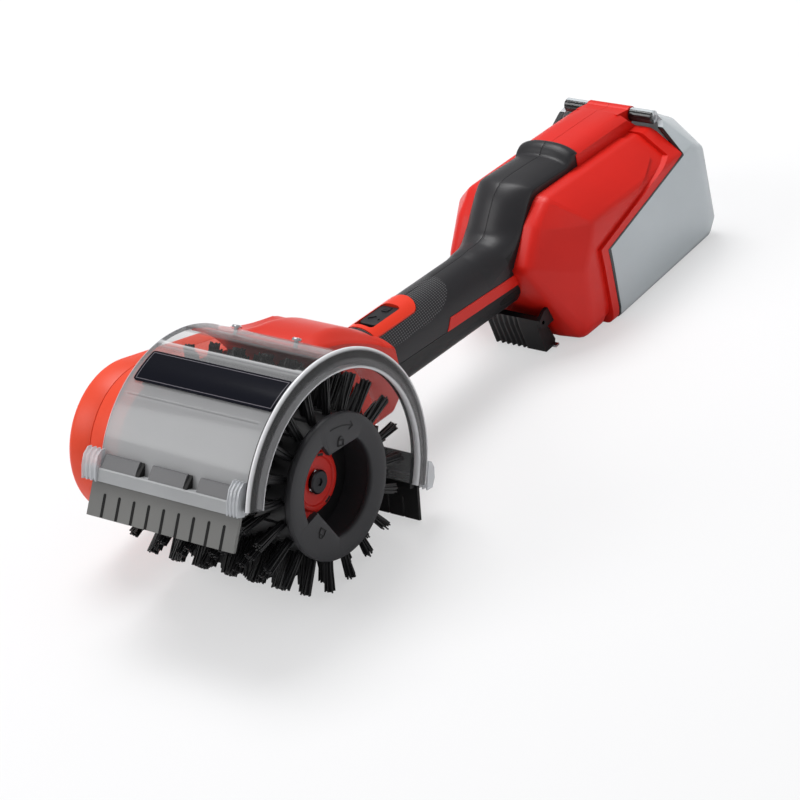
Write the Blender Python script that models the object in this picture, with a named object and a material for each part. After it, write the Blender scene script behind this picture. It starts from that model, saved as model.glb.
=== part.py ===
"""Cordless surface brush: a driven bristle roller under a clear guard, a handle, and a battery box behind.

Sizes are in millimetres and are turned into metres when a mesh is made. The drawing frame has +X along the
brush axle towards its open end, +Y backwards along the handle and +Z up, with its zero on the floor under
the axle. The finished model stands with its own zero on the flat rest face under the battery box.
"""
import math

import bmesh
import bpy
from mathutils import Matrix, Vector

MM = 0.001
GAP = 0.3

# Brush and its axle
BRUSH_R = 60.0
BRUSH_HALF = 50.0
AXLE_Z = BRUSH_R
CORE_R = 36.0
SLEEVE_R = 38.4
CORE_WALL = 3.0
SHAFT_R = 6.0
SHAFT_END_GAP = 0.5
SHAFT_SHORT = 3.0
SHAFT_THREAD_R = 2.3
SHAFT_THREAD_DEEP = 12.0
HUB_WALL = 4.0
STRAND_ROWS = 12
STRAND_COUNT = 30
STRAND_HALF = 1.45
STRAND_TIP_HALF = 1.35
STRAND_UNEVEN = 1.2
STRAND_LEAN = 1.6
STRAND_END_LEAN = (-1.0, 2.0)
RIM_R = 40.0
RIM_OPENING_R = 27.5
RIM_THICK = 4.7
RIM_ROUND = 1.5
RIM_SET_BACK = 0.6
RIM_TAPER = 2.6
RIM_TAB_X = (4.4, 1.4)
RIM_TABS = {
    # corners of each pointed stop, (radius, degrees about the axle)
    "rim_tab_high": ((32.0, 100.0), (19.8, 92.0), (24.5, 45.0), (32.0, 30.0)),
    "rim_tab_low": ((32.0, 208.0), (19.4, 191.0), (27.5, 252.0), (32.0, 262.0)),
}
WEB_X = BRUSH_HALF - 16.0
WEB_THICK = 4.0
KNOB_R = 18.0
KNOB_THICK = 5.7
KNOB_WING_TURNS = (38.0, 218.0)
KNOB_WING = ((7.15, -78.0), (23.0, -12.0), (23.0, 12.0), (9.75, 70.0))
KNOB_WING_X = (0.4, 3.6)
KNOB_SCREW_R = (7.2, 6.8)
KNOB_SCREW_HIGH = 1.6
KNOB_SCREW_SOCKET = (2.4, 1.2)
KNOB_SCREW_SHANK = (2.0, 9.0)

# Clear guard, its label plate and its wipers
GUARD_R = 69.5
GUARD_WALL = 3.0
GUARD_FLANGE_R = GUARD_R + 4.9
GUARD_LIP_R = GUARD_R - 6.1
GUARD_RIGHT = BRUSH_HALF + 1.0
GUARD_EDGE = BRUSH_HALF + 8.0
GUARD_TILT = 24.0
GUARD_ENDS = (-31.7, 157.5)
GUARD_REAR_CUT_X = 28.0
GUARD_SEAT_ANGLE = 49.5
GUARD_SCREW_X = (-34.0, 8.0)
GUARD_SCREW_ANGLE = 53.0
SCREW_R = 1.3
SCREW_HEAD_R = 2.8
SCREW_LENGTH = 5.4
SCREW_REACH = 4.0
LABEL_SPAN = (97.5, 114.4)
LABEL_X = (4.7 - BRUSH_HALF, BRUSH_HALF + 0.2)
LABEL_THICK = 0.8
FLAP_HALF = 51.6
FLAP_THICK = 2.0
FLAP_LENGTH = 24.0
FLAP_FLARE = 12.0
FLAP_SLIT = 1.1
FLAP_SLIT_LENGTH = 12.0
FLAP_TEETH = 10
FLAP_TOP = 1.6
RAIL_OUT = GUARD_R + 5.8
RAIL_DEPTH = 5.0
RAIL_WALL = 2.0
RAIL_SHELF = 2.2
RAIL_INNER = GUARD_R - 2.5
RAIL_SLOT_TOP = 1.2
RAIL_LIP = 1.5
RAIL_SEAT = GUARD_R + 0.4
RAIL_LEFT = -56.5
RAIL_DROP = {-1.0: 0.0, 1.0: 7.5}
CLIP_PLACES = (-33.0, 0.0, 33.0)
CLIP_HALF = 12.0
CLIP_HIGH = 9.0
CLIP_FOOT = 0.6
CLIP_THICK = (0.25, 2.1)
HANGER_TOP = ((GUARD_R + 6.5, 42.9), (GUARD_R - 4.9, 43.9))
HANGER_FOOT = ((4.5, -8.5), (5.7, -8.5), (0.7, -6.2))
FENCE = ((4.5, -8.0), (5.7, -8.0), (5.7, 5.0), (4.5, 5.0))

# Drive side
DRUM_R = 43.5
DRUM_INNER_X = -62.3
DRUM_SPLIT_X = -82.5
DRUM_OUTER_X = -100.0
DRUM_ROUND = 4.5
CASE_WALL = 2.6
CASE_REAR = (GUARD_R + 12.5, 62.0)
CASE_REAR_R = 20.0
DRUM_EASE = 1.4
SIDE_CAP_R = 39.5
SIDE_CAP_THICK = 3.2
SIDE_CAP_EDGE = (1.6, 2.2)
SHAFT_HOLE_R = 7.0
MOTOR_HOLE_R = 5.0
BEARING_R = 11.0
BEARING_WIDTH = 6.0
BOSS_WALL = 2.4
MOTOR_AXIS = (GUARD_R + 14.7, 65.5)
MOTOR_R = 15.5
MOTOR_LENGTH = 40.0
MOTOR_TAIL = 4.0
MOTOR_SHAFT_R = 2.5
PULLEY_R = 34.0
PULLEY_RATIO = 4.0
PULLEY_WIDTH = 9.0
PULLEY_RIM = 3.0
PULLEY_WEB = 1.5
PULLEY_FLANGE = 1.3
BELT_THICK = 1.6
PULLEY_X = -84.5

# Head housing
HEAD_RIGHT = 20.0
HEAD_ARC_R = GUARD_R - 6.0
HEAD_ARC = (-14.0, 0.0, 14.0, 28.0, 42.0)
HEAD_SHELF = 7.0
HEAD_MIDDLE = (GUARD_R + 8.5, 70.0)
HEAD_EASE = (5.0, 0.97)
HEAD_WALL = 2.6
HEAD_CREST = (GUARD_R + 28.0, 85.2)
HEAD_BACK = (GUARD_R + 34.5, 73.0)
HEAD_BACK_LOW = (GUARD_R + 34.5, 50.0)
HEAD_UNDER = (GUARD_R + 20.5, 42.0)
HEAD_CAVITY_RIGHT = 17.0

# Handle, drawn from the middle plane that its two halves and the box share
MIDDLE_X = -7.0
HANDLE_HALF = 17.5
HANDLE_RISE = 22.3
HANDLE_WALL = 3.0
HANDLE_POWER = 2.1
HANDLE_FRONT_Y = GUARD_R + 27.5
HANDLE_REAR_Y = 246.0
UNDER_REAR_Y = 240.0
HANDLE_TOP_Z = 84.4
HANDLE_SLOPE = -0.092
HANDLE_SEAM_Z = 60.7
HANDLE_SEAM_SLOPE = -0.117
BEZEL_HALF = 11.5
BEZEL_Y = (HANDLE_FRONT_Y + 8.0, HANDLE_FRONT_Y + 50.0)
BEZEL_THICK = 2.2
BEZEL_PROUD = 0.3
BEZEL_NOSE = 9.0
BEZEL_LEDGE = 1.8
SWITCH_HALF = 6.2
SWITCH_Y = (HANDLE_FRONT_Y + 16.0, HANDLE_FRONT_Y + 38.0)
SWITCH_TRAVEL = 4.5
SWITCH_SINK = 2.5
SWITCH_FLANGE = 1.4
SWITCH_FLANGE_TOP = 4.3
STEM_HALF = 2.5
STEM_Y = (HANDLE_FRONT_Y + 23.0, HANDLE_FRONT_Y + 29.0)
STEM_LENGTH = 5.0
MODULE_HALF = 6.8
MODULE_Y = (HANDLE_FRONT_Y + 14.0, HANDLE_FRONT_Y + 42.0)
MODULE_HIGH = 14.0
BOARD_Y = (152.0, 205.0)
BOARD_THICK = 1.6
BOARD_DROP = 2.2
INLAY_Y = (156.2, 161.2, 226.0)
INLAY_HIGH = 7.1
INLAY_THICK = 1.7
SPINE_HALF = 19.0
SPINE_DEEP = 14.0

# Battery box, its cover and its hinge
BOX_HALF = 49.0
BOX_WALL = 2.6
REST_Y = 252.0
PASSAGE_HALF = 12.0
PASSAGE_LOW = (205.0, 45.0)
PASSAGE_HIGH = (245.0, 66.0)
BAR_HALF = 20.5
BAR_CROWN = 3.4
HINGE = (358.2, 85.6)
HINGE_BARREL_R = 4.1
HINGE_PIN_R = 1.5
HINGE_HALF = 31.4
KNUCKLE_HALF = 14.7
KNUCKLE_R = 4.7
KNUCKLE_ARC = range(-90, 121, 30)
KNUCKLE_ROOT = ((345.0, 79.4), (354.0, 79.3))
KNUCKLE_TOP = (345.0, 91.8)
COVER_REAR_Y = 379.0
COVER_LIFT = 0.8
DOCK_Y = (272.0, 334.0)
DOCK_Z = 60.6
DOCK_THICK = 3.0
DOCK_RAIL_X = 26.0
DOCK_RAIL_DEEP = 6.3
CONTACT_X = 7.0
CONTACT_Y = (280.0, 296.0)
DOCK_RAIL_THICK = 3.0
DOCK_RAIL_SHORT = 2.0
CONTACT_THICK = 2.0
LATCH_X = (-16.0, 20.0)
LATCH_PIVOT = (224.4, 22.0)
LATCH_PIN_R = 1.2
LATCH_OUTLINE = [
    # side outline of the lever, from its pin's centre
    (0.5, -20.8), (9.2, -20.8), (10.6, -17.5), (3.4, 1.0), (1.0, 3.0), (-2.6, 2.0), (-3.0, -4.0),
]
HOOK_LOW = (15.2, 5.0, -19.6)
HOOK_HIGH = (24.0, 8.4, -18.4)
HOOK_ROOM = (5.0, 8.0)
EAR_THICK = 2.2
EAR_OUTLINE = [
    # side outline of an ear, from the pin's centre
    (-3.0, -2.5), (1.0, -4.0), (10.5, -4.0), (8.5, 7.0), (2.0, 6.0), (-3.0, 2.5),
]


def clear_scene():
    """Remove whatever the scene starts with."""
    for item in list(bpy.data.objects):
        bpy.data.objects.remove(item, do_unlink=True)


def finish_of(name, colour, roughness, metallic=0.0, alpha=1.0):
    """A plain Principled finish."""
    material = bpy.data.materials.new(name)
    material.use_nodes = True
    shader = material.node_tree.nodes["Principled BSDF"]
    shader.inputs["Base Color"].default_value = (*colour, 1.0)
    shader.inputs["Roughness"].default_value = roughness
    shader.inputs["Metallic"].default_value = metallic
    shader.inputs["Alpha"].default_value = alpha
    return material


RED = (0.76, 0.06, 0.03)
CHARCOAL = (0.055, 0.055, 0.06)
BLACK = (0.015, 0.015, 0.016)
CLEAR = (0.62, 0.66, 0.70)
STEEL = (0.55, 0.56, 0.58)
GREY = (0.19, 0.19, 0.18)


def add_carrier(name, place, parent=None):
    """An empty that carries the pieces drawn from its own zero."""
    carrier = bpy.data.objects.new(name, None)
    bpy.context.collection.objects.link(carrier)
    carrier.parent = parent
    carrier.location = Vector(place) * MM
    return carrier


def add_object(name, bm, finish, origin=(0.0, 0.0, 0.0), carrier="stand"):
    """Put a bmesh drawn in millimetres into the scene, with its origin at the given point."""
    bmesh.ops.recalc_face_normals(bm, faces=bm.faces)
    bm.transform(Matrix.Scale(MM, 4) @ Matrix.Translation(-Vector(origin)))
    mesh = bpy.data.meshes.new(name)
    bm.to_mesh(mesh)
    bm.free()
    mesh.shade_smooth()
    mesh.set_sharp_from_angle(angle=math.radians(30.0))
    if finish is not None:
        mesh.materials.append(finish)
    item = bpy.data.objects.new(name, mesh)
    bpy.context.collection.objects.link(item)
    item.parent = bpy.data.objects[carrier]
    item.location = Vector(origin) * MM
    return item


def add_middle_object(name, bm, finish, origin=(0.0, 0.0, 0.0)):
    """The same, for a piece drawn from the middle plane of the handle and the box."""
    return add_object(name, bm, finish, origin, "middle_line")


def shape_with(item, operation, *others):
    """Boolean each hidden shape into the item, in turn."""
    for other in others:
        step = item.modifiers.new(f"{operation.lower()}_{other.name}", "BOOLEAN")
        step.operation = operation
        step.solver = "EXACT"
        step.object = other
        other.hide_render = True
        other.display_type = "WIRE"
    return item


def cut(item, *others):
    """Cut hidden shapes out of the item."""
    return shape_with(item, "DIFFERENCE", *others)


def join(item, *others):
    """Grow hidden shapes onto the item."""
    return shape_with(item, "UNION", *others)


def polar(radius, degrees, centre=(0.0, AXLE_Z)):
    """A (y, z) point about the axle, from +Y towards +Z."""
    angle = math.radians(degrees)
    return (centre[0] + radius * math.cos(angle), centre[1] + radius * math.sin(angle))


def tilted(u, w):
    """A (y, z) point from the guard's own frame, u backwards and w up along its tilted middle."""
    lean = math.radians(GUARD_TILT)
    y = u * math.cos(lean) + w * math.sin(lean)
    z = AXLE_Z - u * math.sin(lean) + w * math.cos(lean)
    return (y, z)


def loft_mesh(sections):
    """Skin equal loops of points one after another, and cap both ends."""
    bm = bmesh.new()
    rings = [[bm.verts.new(point) for point in section] for section in sections]
    for ring, following in zip(rings, rings[1:]):
        count = len(ring)
        for i in range(count):
            j = (i + 1) % count
            bm.faces.new((ring[i], ring[j], following[j], following[i]))
    bm.faces.new(list(reversed(rings[0])))
    bm.faces.new(rings[-1])
    return bm


def prism_mesh(outline, low, high):
    """A (y, z) outline drawn out along X."""
    return loft_mesh([[(x, y, z) for y, z in outline] for x in (low, high)])


def box_mesh(low, high):
    """A plain block between two corners."""
    outline = [(low[1], low[2]), (high[1], low[2]), (high[1], high[2]), (low[1], high[2])]
    return prism_mesh(outline, low[0], high[0])


def turned_mesh(profile, steps, centre=(0.0, AXLE_Z), span=None):
    """Turn a closed (x, r) profile about a line along X, a whole turn or a span of degrees."""
    bm = bmesh.new()
    whole = span is None
    first, last = span or (0.0, 360.0)
    count = steps if whole else steps + 1
    rings = []
    poles = {}
    for i in range(count):
        angle = first + (last - first) * i / steps
        ring = []
        for k, (x, radius) in enumerate(profile):
            if radius < 1e-9:
                if k not in poles:
                    poles[k] = bm.verts.new((x, *centre))
                ring.append(poles[k])
            else:
                ring.append(bm.verts.new((x, *polar(radius, angle, centre))))
        rings.append(ring)
    pairs = zip(rings, rings[1:] + rings[:1]) if whole else zip(rings, rings[1:])
    size = len(profile)
    for ring, following in pairs:
        for k in range(size):
            j = (k + 1) % size
            corners = [ring[k], ring[j], following[j], following[k]]
            corners = [v for n, v in enumerate(corners) if v not in corners[:n]]
            if len(corners) > 2:
                bm.faces.new(corners)
    if not whole:
        bm.faces.new(list(reversed(rings[0])))
        bm.faces.new(rings[-1])
    return bm


def hull_mesh(points):
    """The tight skin round a set of points."""
    bm = bmesh.new()
    for point in points:
        bm.verts.new(point)
    result = bmesh.ops.convex_hull(bm, input=bm.verts)
    inside = [v for v in result["geom_interior"] if isinstance(v, bmesh.types.BMVert)]
    bmesh.ops.delete(bm, geom=inside, context="VERTS")
    return bm


def two_circle_outline(centre_a, radius_a, centre_b, radius_b, steps):
    """The outline of a belt round two circles, as (y, z) points."""
    dy = centre_b[0] - centre_a[0]
    dz = centre_b[1] - centre_a[1]
    heading = math.degrees(math.atan2(dz, dy))
    lean = math.degrees(math.acos((radius_a - radius_b) / math.hypot(dy, dz)))
    points = []
    for i in range(steps + 1):
        angle = heading + lean + (360.0 - 2.0 * lean) * i / steps
        points.append(polar(radius_a, angle, centre_a))
    rear_steps = max(4, steps // 3)
    for i in range(rear_steps + 1):
        angle = heading - lean + 2.0 * lean * i / rear_steps
        points.append(polar(radius_b, angle, centre_b))
    return points


def case_outline(inset=0.0, steps=28):
    """The outline that the drive case and its cover share."""
    return two_circle_outline((0.0, AXLE_Z), DRUM_R - inset, CASE_REAR, CASE_REAR_R - inset, steps)


def ring_mesh(x_low, x_high, inner, outer, steps, centre=(0.0, AXLE_Z)):
    """A plain ring or tube along X."""
    return turned_mesh([(x_low, inner), (x_low, outer), (x_high, outer), (x_high, inner)], steps, centre)


def disc_mesh(x_low, x_high, radius, steps, centre=(0.0, AXLE_Z)):
    """A plain round bar along X."""
    return turned_mesh([(x_low, 0.0), (x_low, radius), (x_high, radius), (x_high, 0.0)], steps, centre)


def screw_mesh(head, direction, head_r, shank_r, length):
    """A pan-head screw with a dimple for its driver, its seat at a point and its shank along a direction."""
    high = head_r * 0.6
    outline = [(length, 0.0), (length, shank_r), (0.0, shank_r), (0.0, head_r), (-high * 0.6, head_r),
               (-high, head_r * 0.7), (-high, head_r * 0.4), (-high * 0.4, 0.0)]
    bm = turned_mesh(outline, 12, (0.0, 0.0))
    aim = Vector(direction).normalized().to_track_quat("X", "Z").to_matrix().to_4x4()
    bm.transform(Matrix.Translation(Vector(head)) @ aim)
    return bm


def drill_mesh(start, direction, radius, length):
    """A round cutter from a point along a direction."""
    bm = disc_mesh(0.0, length, radius, 10, (0.0, 0.0))
    aim = Vector(direction).normalized().to_track_quat("X", "Z").to_matrix().to_4x4()
    bm.transform(Matrix.Translation(Vector(start)) @ aim)
    return bm


def bristle_mesh():
    """Strands drawn out of the cells of a thin sleeve, one strand to a cell."""
    bm = bmesh.new()
    inner_r = CORE_R + GAP
    rows = STRAND_ROWS
    around = STRAND_COUNT
    pitch = 2.0 * BRUSH_HALF / rows
    step = 360.0 / around
    start = -90.0 - step / 2.0
    grid = []
    for i in range(rows + 1):
        x = -BRUSH_HALF + pitch * i
        grid.append([bm.verts.new((x, *polar(SLEEVE_R, start + step * j))) for j in range(around)])
    inner = []
    for x in (-BRUSH_HALF, BRUSH_HALF):
        inner.append([bm.verts.new((x, *polar(inner_r, start + step * j))) for j in range(around)])
    for j in range(around):
        k = (j + 1) % around
        bm.faces.new((inner[0][j], inner[0][k], inner[1][k], inner[1][j]))
        bm.faces.new((grid[0][j], grid[0][k], inner[0][k], inner[0][j]))
        bm.faces.new((grid[-1][j], grid[-1][k], inner[1][k], inner[1][j]))
    flat_r = SLEEVE_R * math.cos(math.radians(step / 2.0))
    for i in range(rows):
        for j in range(around):
            k = (j + 1) % around
            middle = start + step * (j + 0.5)
            x_mid = -BRUSH_HALF + pitch * (i + 0.5)
            straight_down = j == 0
            shift_x = 0.22 * pitch * math.sin(2.4 * j + 1.1 * i)
            shift_a = 0.0 if straight_down else 0.16 * step * math.sin(1.7 * i + 0.9 * j)
            tip_r = BRUSH_R - (0.0 if straight_down else STRAND_UNEVEN * abs(math.sin(3.1 * i + 2.3 * j)))
            lean_x = STRAND_LEAN * math.sin(0.7 * j + 2.0 * i)
            if i in (0, rows - 1):
                shift_x = math.copysign(shift_x, STRAND_END_LEAN[i > 0])
                lean_x = STRAND_END_LEAN[i > 0]
            base = []
            tip = []
            for sx, sa in ((-1, -1), (1, -1), (1, 1), (-1, 1)):
                x_base = x_mid + shift_x + sx * STRAND_HALF
                across = sa * STRAND_HALF + math.radians(shift_a) * flat_r
                angle = middle + math.degrees(math.atan2(across, flat_r))
                base.append(bm.verts.new((x_base, *polar(math.hypot(across, flat_r), angle))))
                angle_tip = middle + shift_a + math.degrees(sa * STRAND_TIP_HALF / tip_r)
                tip.append(bm.verts.new((x_base + lean_x, *polar(tip_r, angle_tip))))
            cell = [grid[i][j], grid[i + 1][j], grid[i + 1][k], grid[i][k]]
            for n in range(4):
                m = (n + 1) % 4
                bm.faces.new((cell[n], cell[m], base[m], base[n]))
                bm.faces.new((base[n], base[m], tip[m], tip[n]))
            bm.faces.new(tip)
    return bm


def sheet_cells_mesh(columns, rows, filled, thickness, place):
    """A flat sheet of cells with some left out, given a thickness and carried into space by a function."""
    bm = bmesh.new()
    points = {}

    def corner(i, j, side):
        key = (i, j, side)
        if key not in points:
            points[key] = bm.verts.new(place(columns[i], rows[j], thickness * side))
        return points[key]

    present = {(i, j) for i in range(len(columns) - 1) for j in range(len(rows) - 1) if filled(i, j)}
    for i, j in present:
        for side in (0, 1):
            bm.faces.new([corner(a, b, side) for a, b in ((i, j), (i + 1, j), (i + 1, j + 1), (i, j + 1))])
        edges = (((i, j), (i + 1, j), (i, j - 1)), ((i + 1, j), (i + 1, j + 1), (i + 1, j)),
                 ((i + 1, j + 1), (i, j + 1), (i, j + 1)), ((i, j + 1), (i, j), (i - 1, j)))
        for start, end, neighbour in edges:
            if neighbour not in present:
                bm.faces.new((corner(*start, 0), corner(*end, 0), corner(*end, 1), corner(*start, 1)))
    return bm


def flap_mesh(side):
    """A wiper with slits from its lower edge, flared outwards below its holder."""
    pitch = 2.0 * FLAP_HALF / FLAP_TEETH
    columns = [-FLAP_HALF]
    for n in range(1, FLAP_TEETH):
        x = -FLAP_HALF + pitch * n
        columns += [x - FLAP_SLIT / 2.0, x + FLAP_SLIT / 2.0]
    columns.append(FLAP_HALF)
    if side < 0:
        columns[-1] = BRUSH_HALF + GAP / 2.0
    bend = RAIL_DEPTH
    rows = [FLAP_TOP, bend, FLAP_LENGTH - FLAP_SLIT_LENGTH, FLAP_LENGTH]
    flare = math.radians(FLAP_FLARE)

    def place(x, depth, through):
        below = max(0.0, depth - bend)
        u = RAIL_OUT - RAIL_WALL - FLAP_THICK + through + below * math.sin(flare)
        w = -RAIL_DROP[side] - (depth if below == 0.0 else bend + below * math.cos(flare))
        return (x, *tilted(side * u, w))

    return sheet_cells_mesh(columns, rows, lambda i, j: j < 2 or i % 2 == 0, FLAP_THICK, place)


def rail_outline(side):
    """The holder's section: a slot for the flap below, and a lip under the guard's edge."""
    slot_in = RAIL_OUT - RAIL_WALL - FLAP_THICK - GAP
    slot_out = RAIL_OUT - RAIL_WALL + GAP
    points = [(RAIL_OUT, RAIL_LIP), (RAIL_SEAT, RAIL_LIP), (RAIL_SEAT, -RAIL_SHELF),
              (RAIL_INNER, -RAIL_SHELF), (RAIL_INNER, -RAIL_DEPTH), (slot_in, -RAIL_DEPTH),
              (slot_in, -RAIL_SLOT_TOP),
              (slot_out, -RAIL_SLOT_TOP), (slot_out, -RAIL_DEPTH), (RAIL_OUT, -RAIL_DEPTH)]
    return [tilted(side * u, w - RAIL_DROP[side]) for u, w in points]


def handle_levels(y):
    """The heights of the handle's top, of its widest line and of its side seam at a place along it."""
    along = y - HANDLE_FRONT_Y
    top = HANDLE_TOP_Z + HANDLE_SLOPE * along
    return top, top - HANDLE_RISE, HANDLE_SEAM_Z + HANDLE_SEAM_SLOPE * along


def handle_point(degrees, y, grow):
    """A point on the handle's rounded section, grown outwards by a distance."""
    middle = handle_levels(y)[1]
    angle = math.radians(degrees)
    power = 2.0 / HANDLE_POWER
    x = (HANDLE_HALF + grow) * math.copysign(abs(math.cos(angle)) ** power, math.cos(angle))
    z = middle + (HANDLE_RISE + grow) * math.copysign(abs(math.sin(angle)) ** power, math.sin(angle))
    return (x, y, z)


def degrees_at_width(x, grow):
    """The angle at which the upper part of the handle's section stands a distance beside its middle."""
    return math.degrees(math.acos((x / (HANDLE_HALF + grow)) ** (HANDLE_POWER / 2.0)))


def degrees_at_seam(y, grow):
    """The angle below the widest line at which the handle's section meets its side seam."""
    _, middle, seam = handle_levels(y)
    return math.degrees(math.asin(((middle - seam) / (HANDLE_RISE + grow)) ** (HANDLE_POWER / 2.0)))


def width_at(y, z, grow):
    """Half of the handle's width at a height."""
    rise = abs(z - handle_levels(y)[1]) / (HANDLE_RISE + grow)
    return (HANDLE_HALF + grow) * (1.0 - rise ** HANDLE_POWER) ** (1.0 / HANDLE_POWER)


def grip_section(side, y, steps):
    """One closed half of the handle's upper shell."""
    loops = []
    for grow in (0.0, -HANDLE_WALL):
        first = -degrees_at_seam(y, grow)
        last = degrees_at_width(GAP / 2.0, grow)
        loop = [handle_point(first + (last - first) * i / steps, y, grow) for i in range(steps + 1)]
        lifts = [GAP / 2.0 if i == 0 else 0.0 for i in range(steps + 1)]
        loops.append([(side * x, py, z + lift) for (x, py, z), lift in zip(loop, lifts)])
    return loops[0] + list(reversed(loops[1]))


def under_section(y, steps):
    """The handle's lower shell, a channel open upwards."""
    loops = []
    for grow in (0.0, -HANDLE_WALL):
        first = 180.0 + degrees_at_seam(y, grow)
        span = 540.0 - 2.0 * first
        loop = [handle_point(first + span * i / steps, y, grow) for i in range(steps + 1)]
        drops = [GAP / 2.0 if i in (0, steps) else 0.0 for i in range(steps + 1)]
        loops.append([(x, py, z - drop) for (x, py, z), drop in zip(loop, drops)])
    return loops[0] + list(reversed(loops[1]))


def handle_solid_mesh(grow, front, rear, steps=20):
    """The handle's whole outer form."""
    turns = [360.0 * i / steps for i in range(steps)]
    return loft_mesh([[handle_point(turn, y, grow) for turn in turns] for y in (front, rear)])


BOX_CORNERS = [
    # half of the outer skin, (x, y, z)
    (33.6, 238.5, 0.0), (45.5, 240.0, 0.0), (45.6, 263.6, 0.0), (47.6, 276.0, 0.0),
    (BOX_HALF - 1.0, 373.0, 0.0), (BOX_HALF, 373.6, 2.1), (BOX_HALF, COVER_REAR_Y, 7.8),
    (BOX_HALF, COVER_REAR_Y, 58.0), (BOX_HALF, 371.6, 64.1),
    (BOX_HALF, 244.5, 45.0), (BOX_HALF, 259.7, 72.0), (BOX_HALF - 1.0, 241.0, 4.0),
    (29.0, 220.5, 58.0), (29.0, 235.0, 79.0), (29.5, 248.0, 89.5), (31.0, 357.0, 79.5),
]
COVER_SHOULDERS = [(HINGE_HALF, 360.6, 88.9), (HINGE_HALF, 378.2, 75.4)]


def box_skin_mesh(inset, extra=()):
    """The battery box's whole outer form, or the same form drawn inwards by a wall."""
    points = [(side * x, y, z) for x, y, z in [*BOX_CORNERS, *extra] for side in (-1.0, 1.0)]
    spans = []
    for axis in range(3):
        values = [point[axis] for point in points]
        spans.append((min(values), max(values)))
    scaled = []
    for point in points:
        moved = []
        for value, (low, high) in zip(point, spans):
            middle = (low + high) / 2.0
            moved.append(middle + (value - middle) * (high - low - 2.0 * inset) / (high - low))
        scaled.append(tuple(moved))
    return hull_mesh(scaled)


COVER_FRONT = (272.4, 270.8, 47.6)
COVER_SLOPE_END = (356.0, 64.9)
COVER_ROOF = (361.0, 83.0)
COVER_ROOF_DROP = 3.0
FAR = 30.0
FAR_FRONT_Y = 182.4


def cover_region(gap):
    """Side outline of the part of the box that the clear cover takes, shrunk by a gap."""
    foot_y, front_y, front_z = COVER_FRONT
    end_y, end_z = COVER_SLOPE_END
    roof_y, roof_z = COVER_ROOF
    high = HINGE[1] + FAR
    rear = COVER_REAR_Y + FAR
    return [(foot_y + gap, COVER_LIFT), (front_y + gap, front_z - gap), (end_y + gap, end_z - gap),
            (end_y + gap, roof_z - COVER_ROOF_DROP), (roof_y, roof_z), (roof_y, high), (rear, high),
            (rear, COVER_LIFT)]


def shell_region():
    """Side outline of the part of the box that the red shells take."""
    foot_y, front_y, front_z = COVER_FRONT
    high = HINGE[1] + FAR
    return [(FAR_FRONT_Y, -FAR), (foot_y, -FAR), (front_y, front_z), COVER_SLOPE_END,
            (COVER_SLOPE_END[0], high), (FAR_FRONT_Y, high)]


SPINE_LINE = [
    # (y, height of the middle, how far back the edges stand, share of the flat-topped section)
    (196.0, 74.6, 0.0, 0.0), (205.0, 75.0, 0.0, 0.2), (212.0, 74.6, 1.0, 0.35), (217.5, 74.7, 3.0, 0.6),
    (224.0, 77.0, 6.0, 1.0), (231.0, 85.0, 6.5, 1.0), (238.0, 92.6, 6.5, 1.0), (245.0, 97.2, 5.0, 1.0),
    (258.8, 97.2, 0.0, 1.0), (281.0, 94.8, 0.0, 1.0), (287.0, 94.2, 0.0, 1.0), (291.5, 98.2, 0.0, 1.0),
    (294.0, 98.2, 0.0, 1.0),
]
SPINE_CROWN = [(0.0, 0.0), (0.3, 0.3), (0.6, 1.1), (0.85, 2.6), (1.0, 4.4), (1.0, 9.0)]
SPINE_INSIDE = 0.4
SPINE_ARCH_SHARE = 0.2


def spine_section(place, side):
    """The strip over the handle's end and the box's top, on one side of the seam."""
    y, height, back, share = place
    edge = GAP / 2.0
    points = []
    for across, drop in SPINE_CROWN:
        arch_x = min(across * HANDLE_HALF, HANDLE_HALF - SPINE_INSIDE)
        arch_rise = (1.0 - (arch_x / HANDLE_HALF) ** HANDLE_POWER) ** (1.0 / HANDLE_POWER)
        arch_drop = HANDLE_RISE * (1.0 - arch_rise) + drop * SPINE_ARCH_SHARE
        x = arch_x + (across * SPINE_HALF - arch_x) * share
        z = height - arch_drop - (drop - arch_drop) * share
        points.append((side * max(x, edge), y + back * across ** 2, z))
    low = height - HANDLE_RISE - (SPINE_DEEP - HANDLE_RISE) * share
    points.append((points[-1][0], points[-1][1], low))
    points.append((side * edge, points[0][1], low))
    return points


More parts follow.
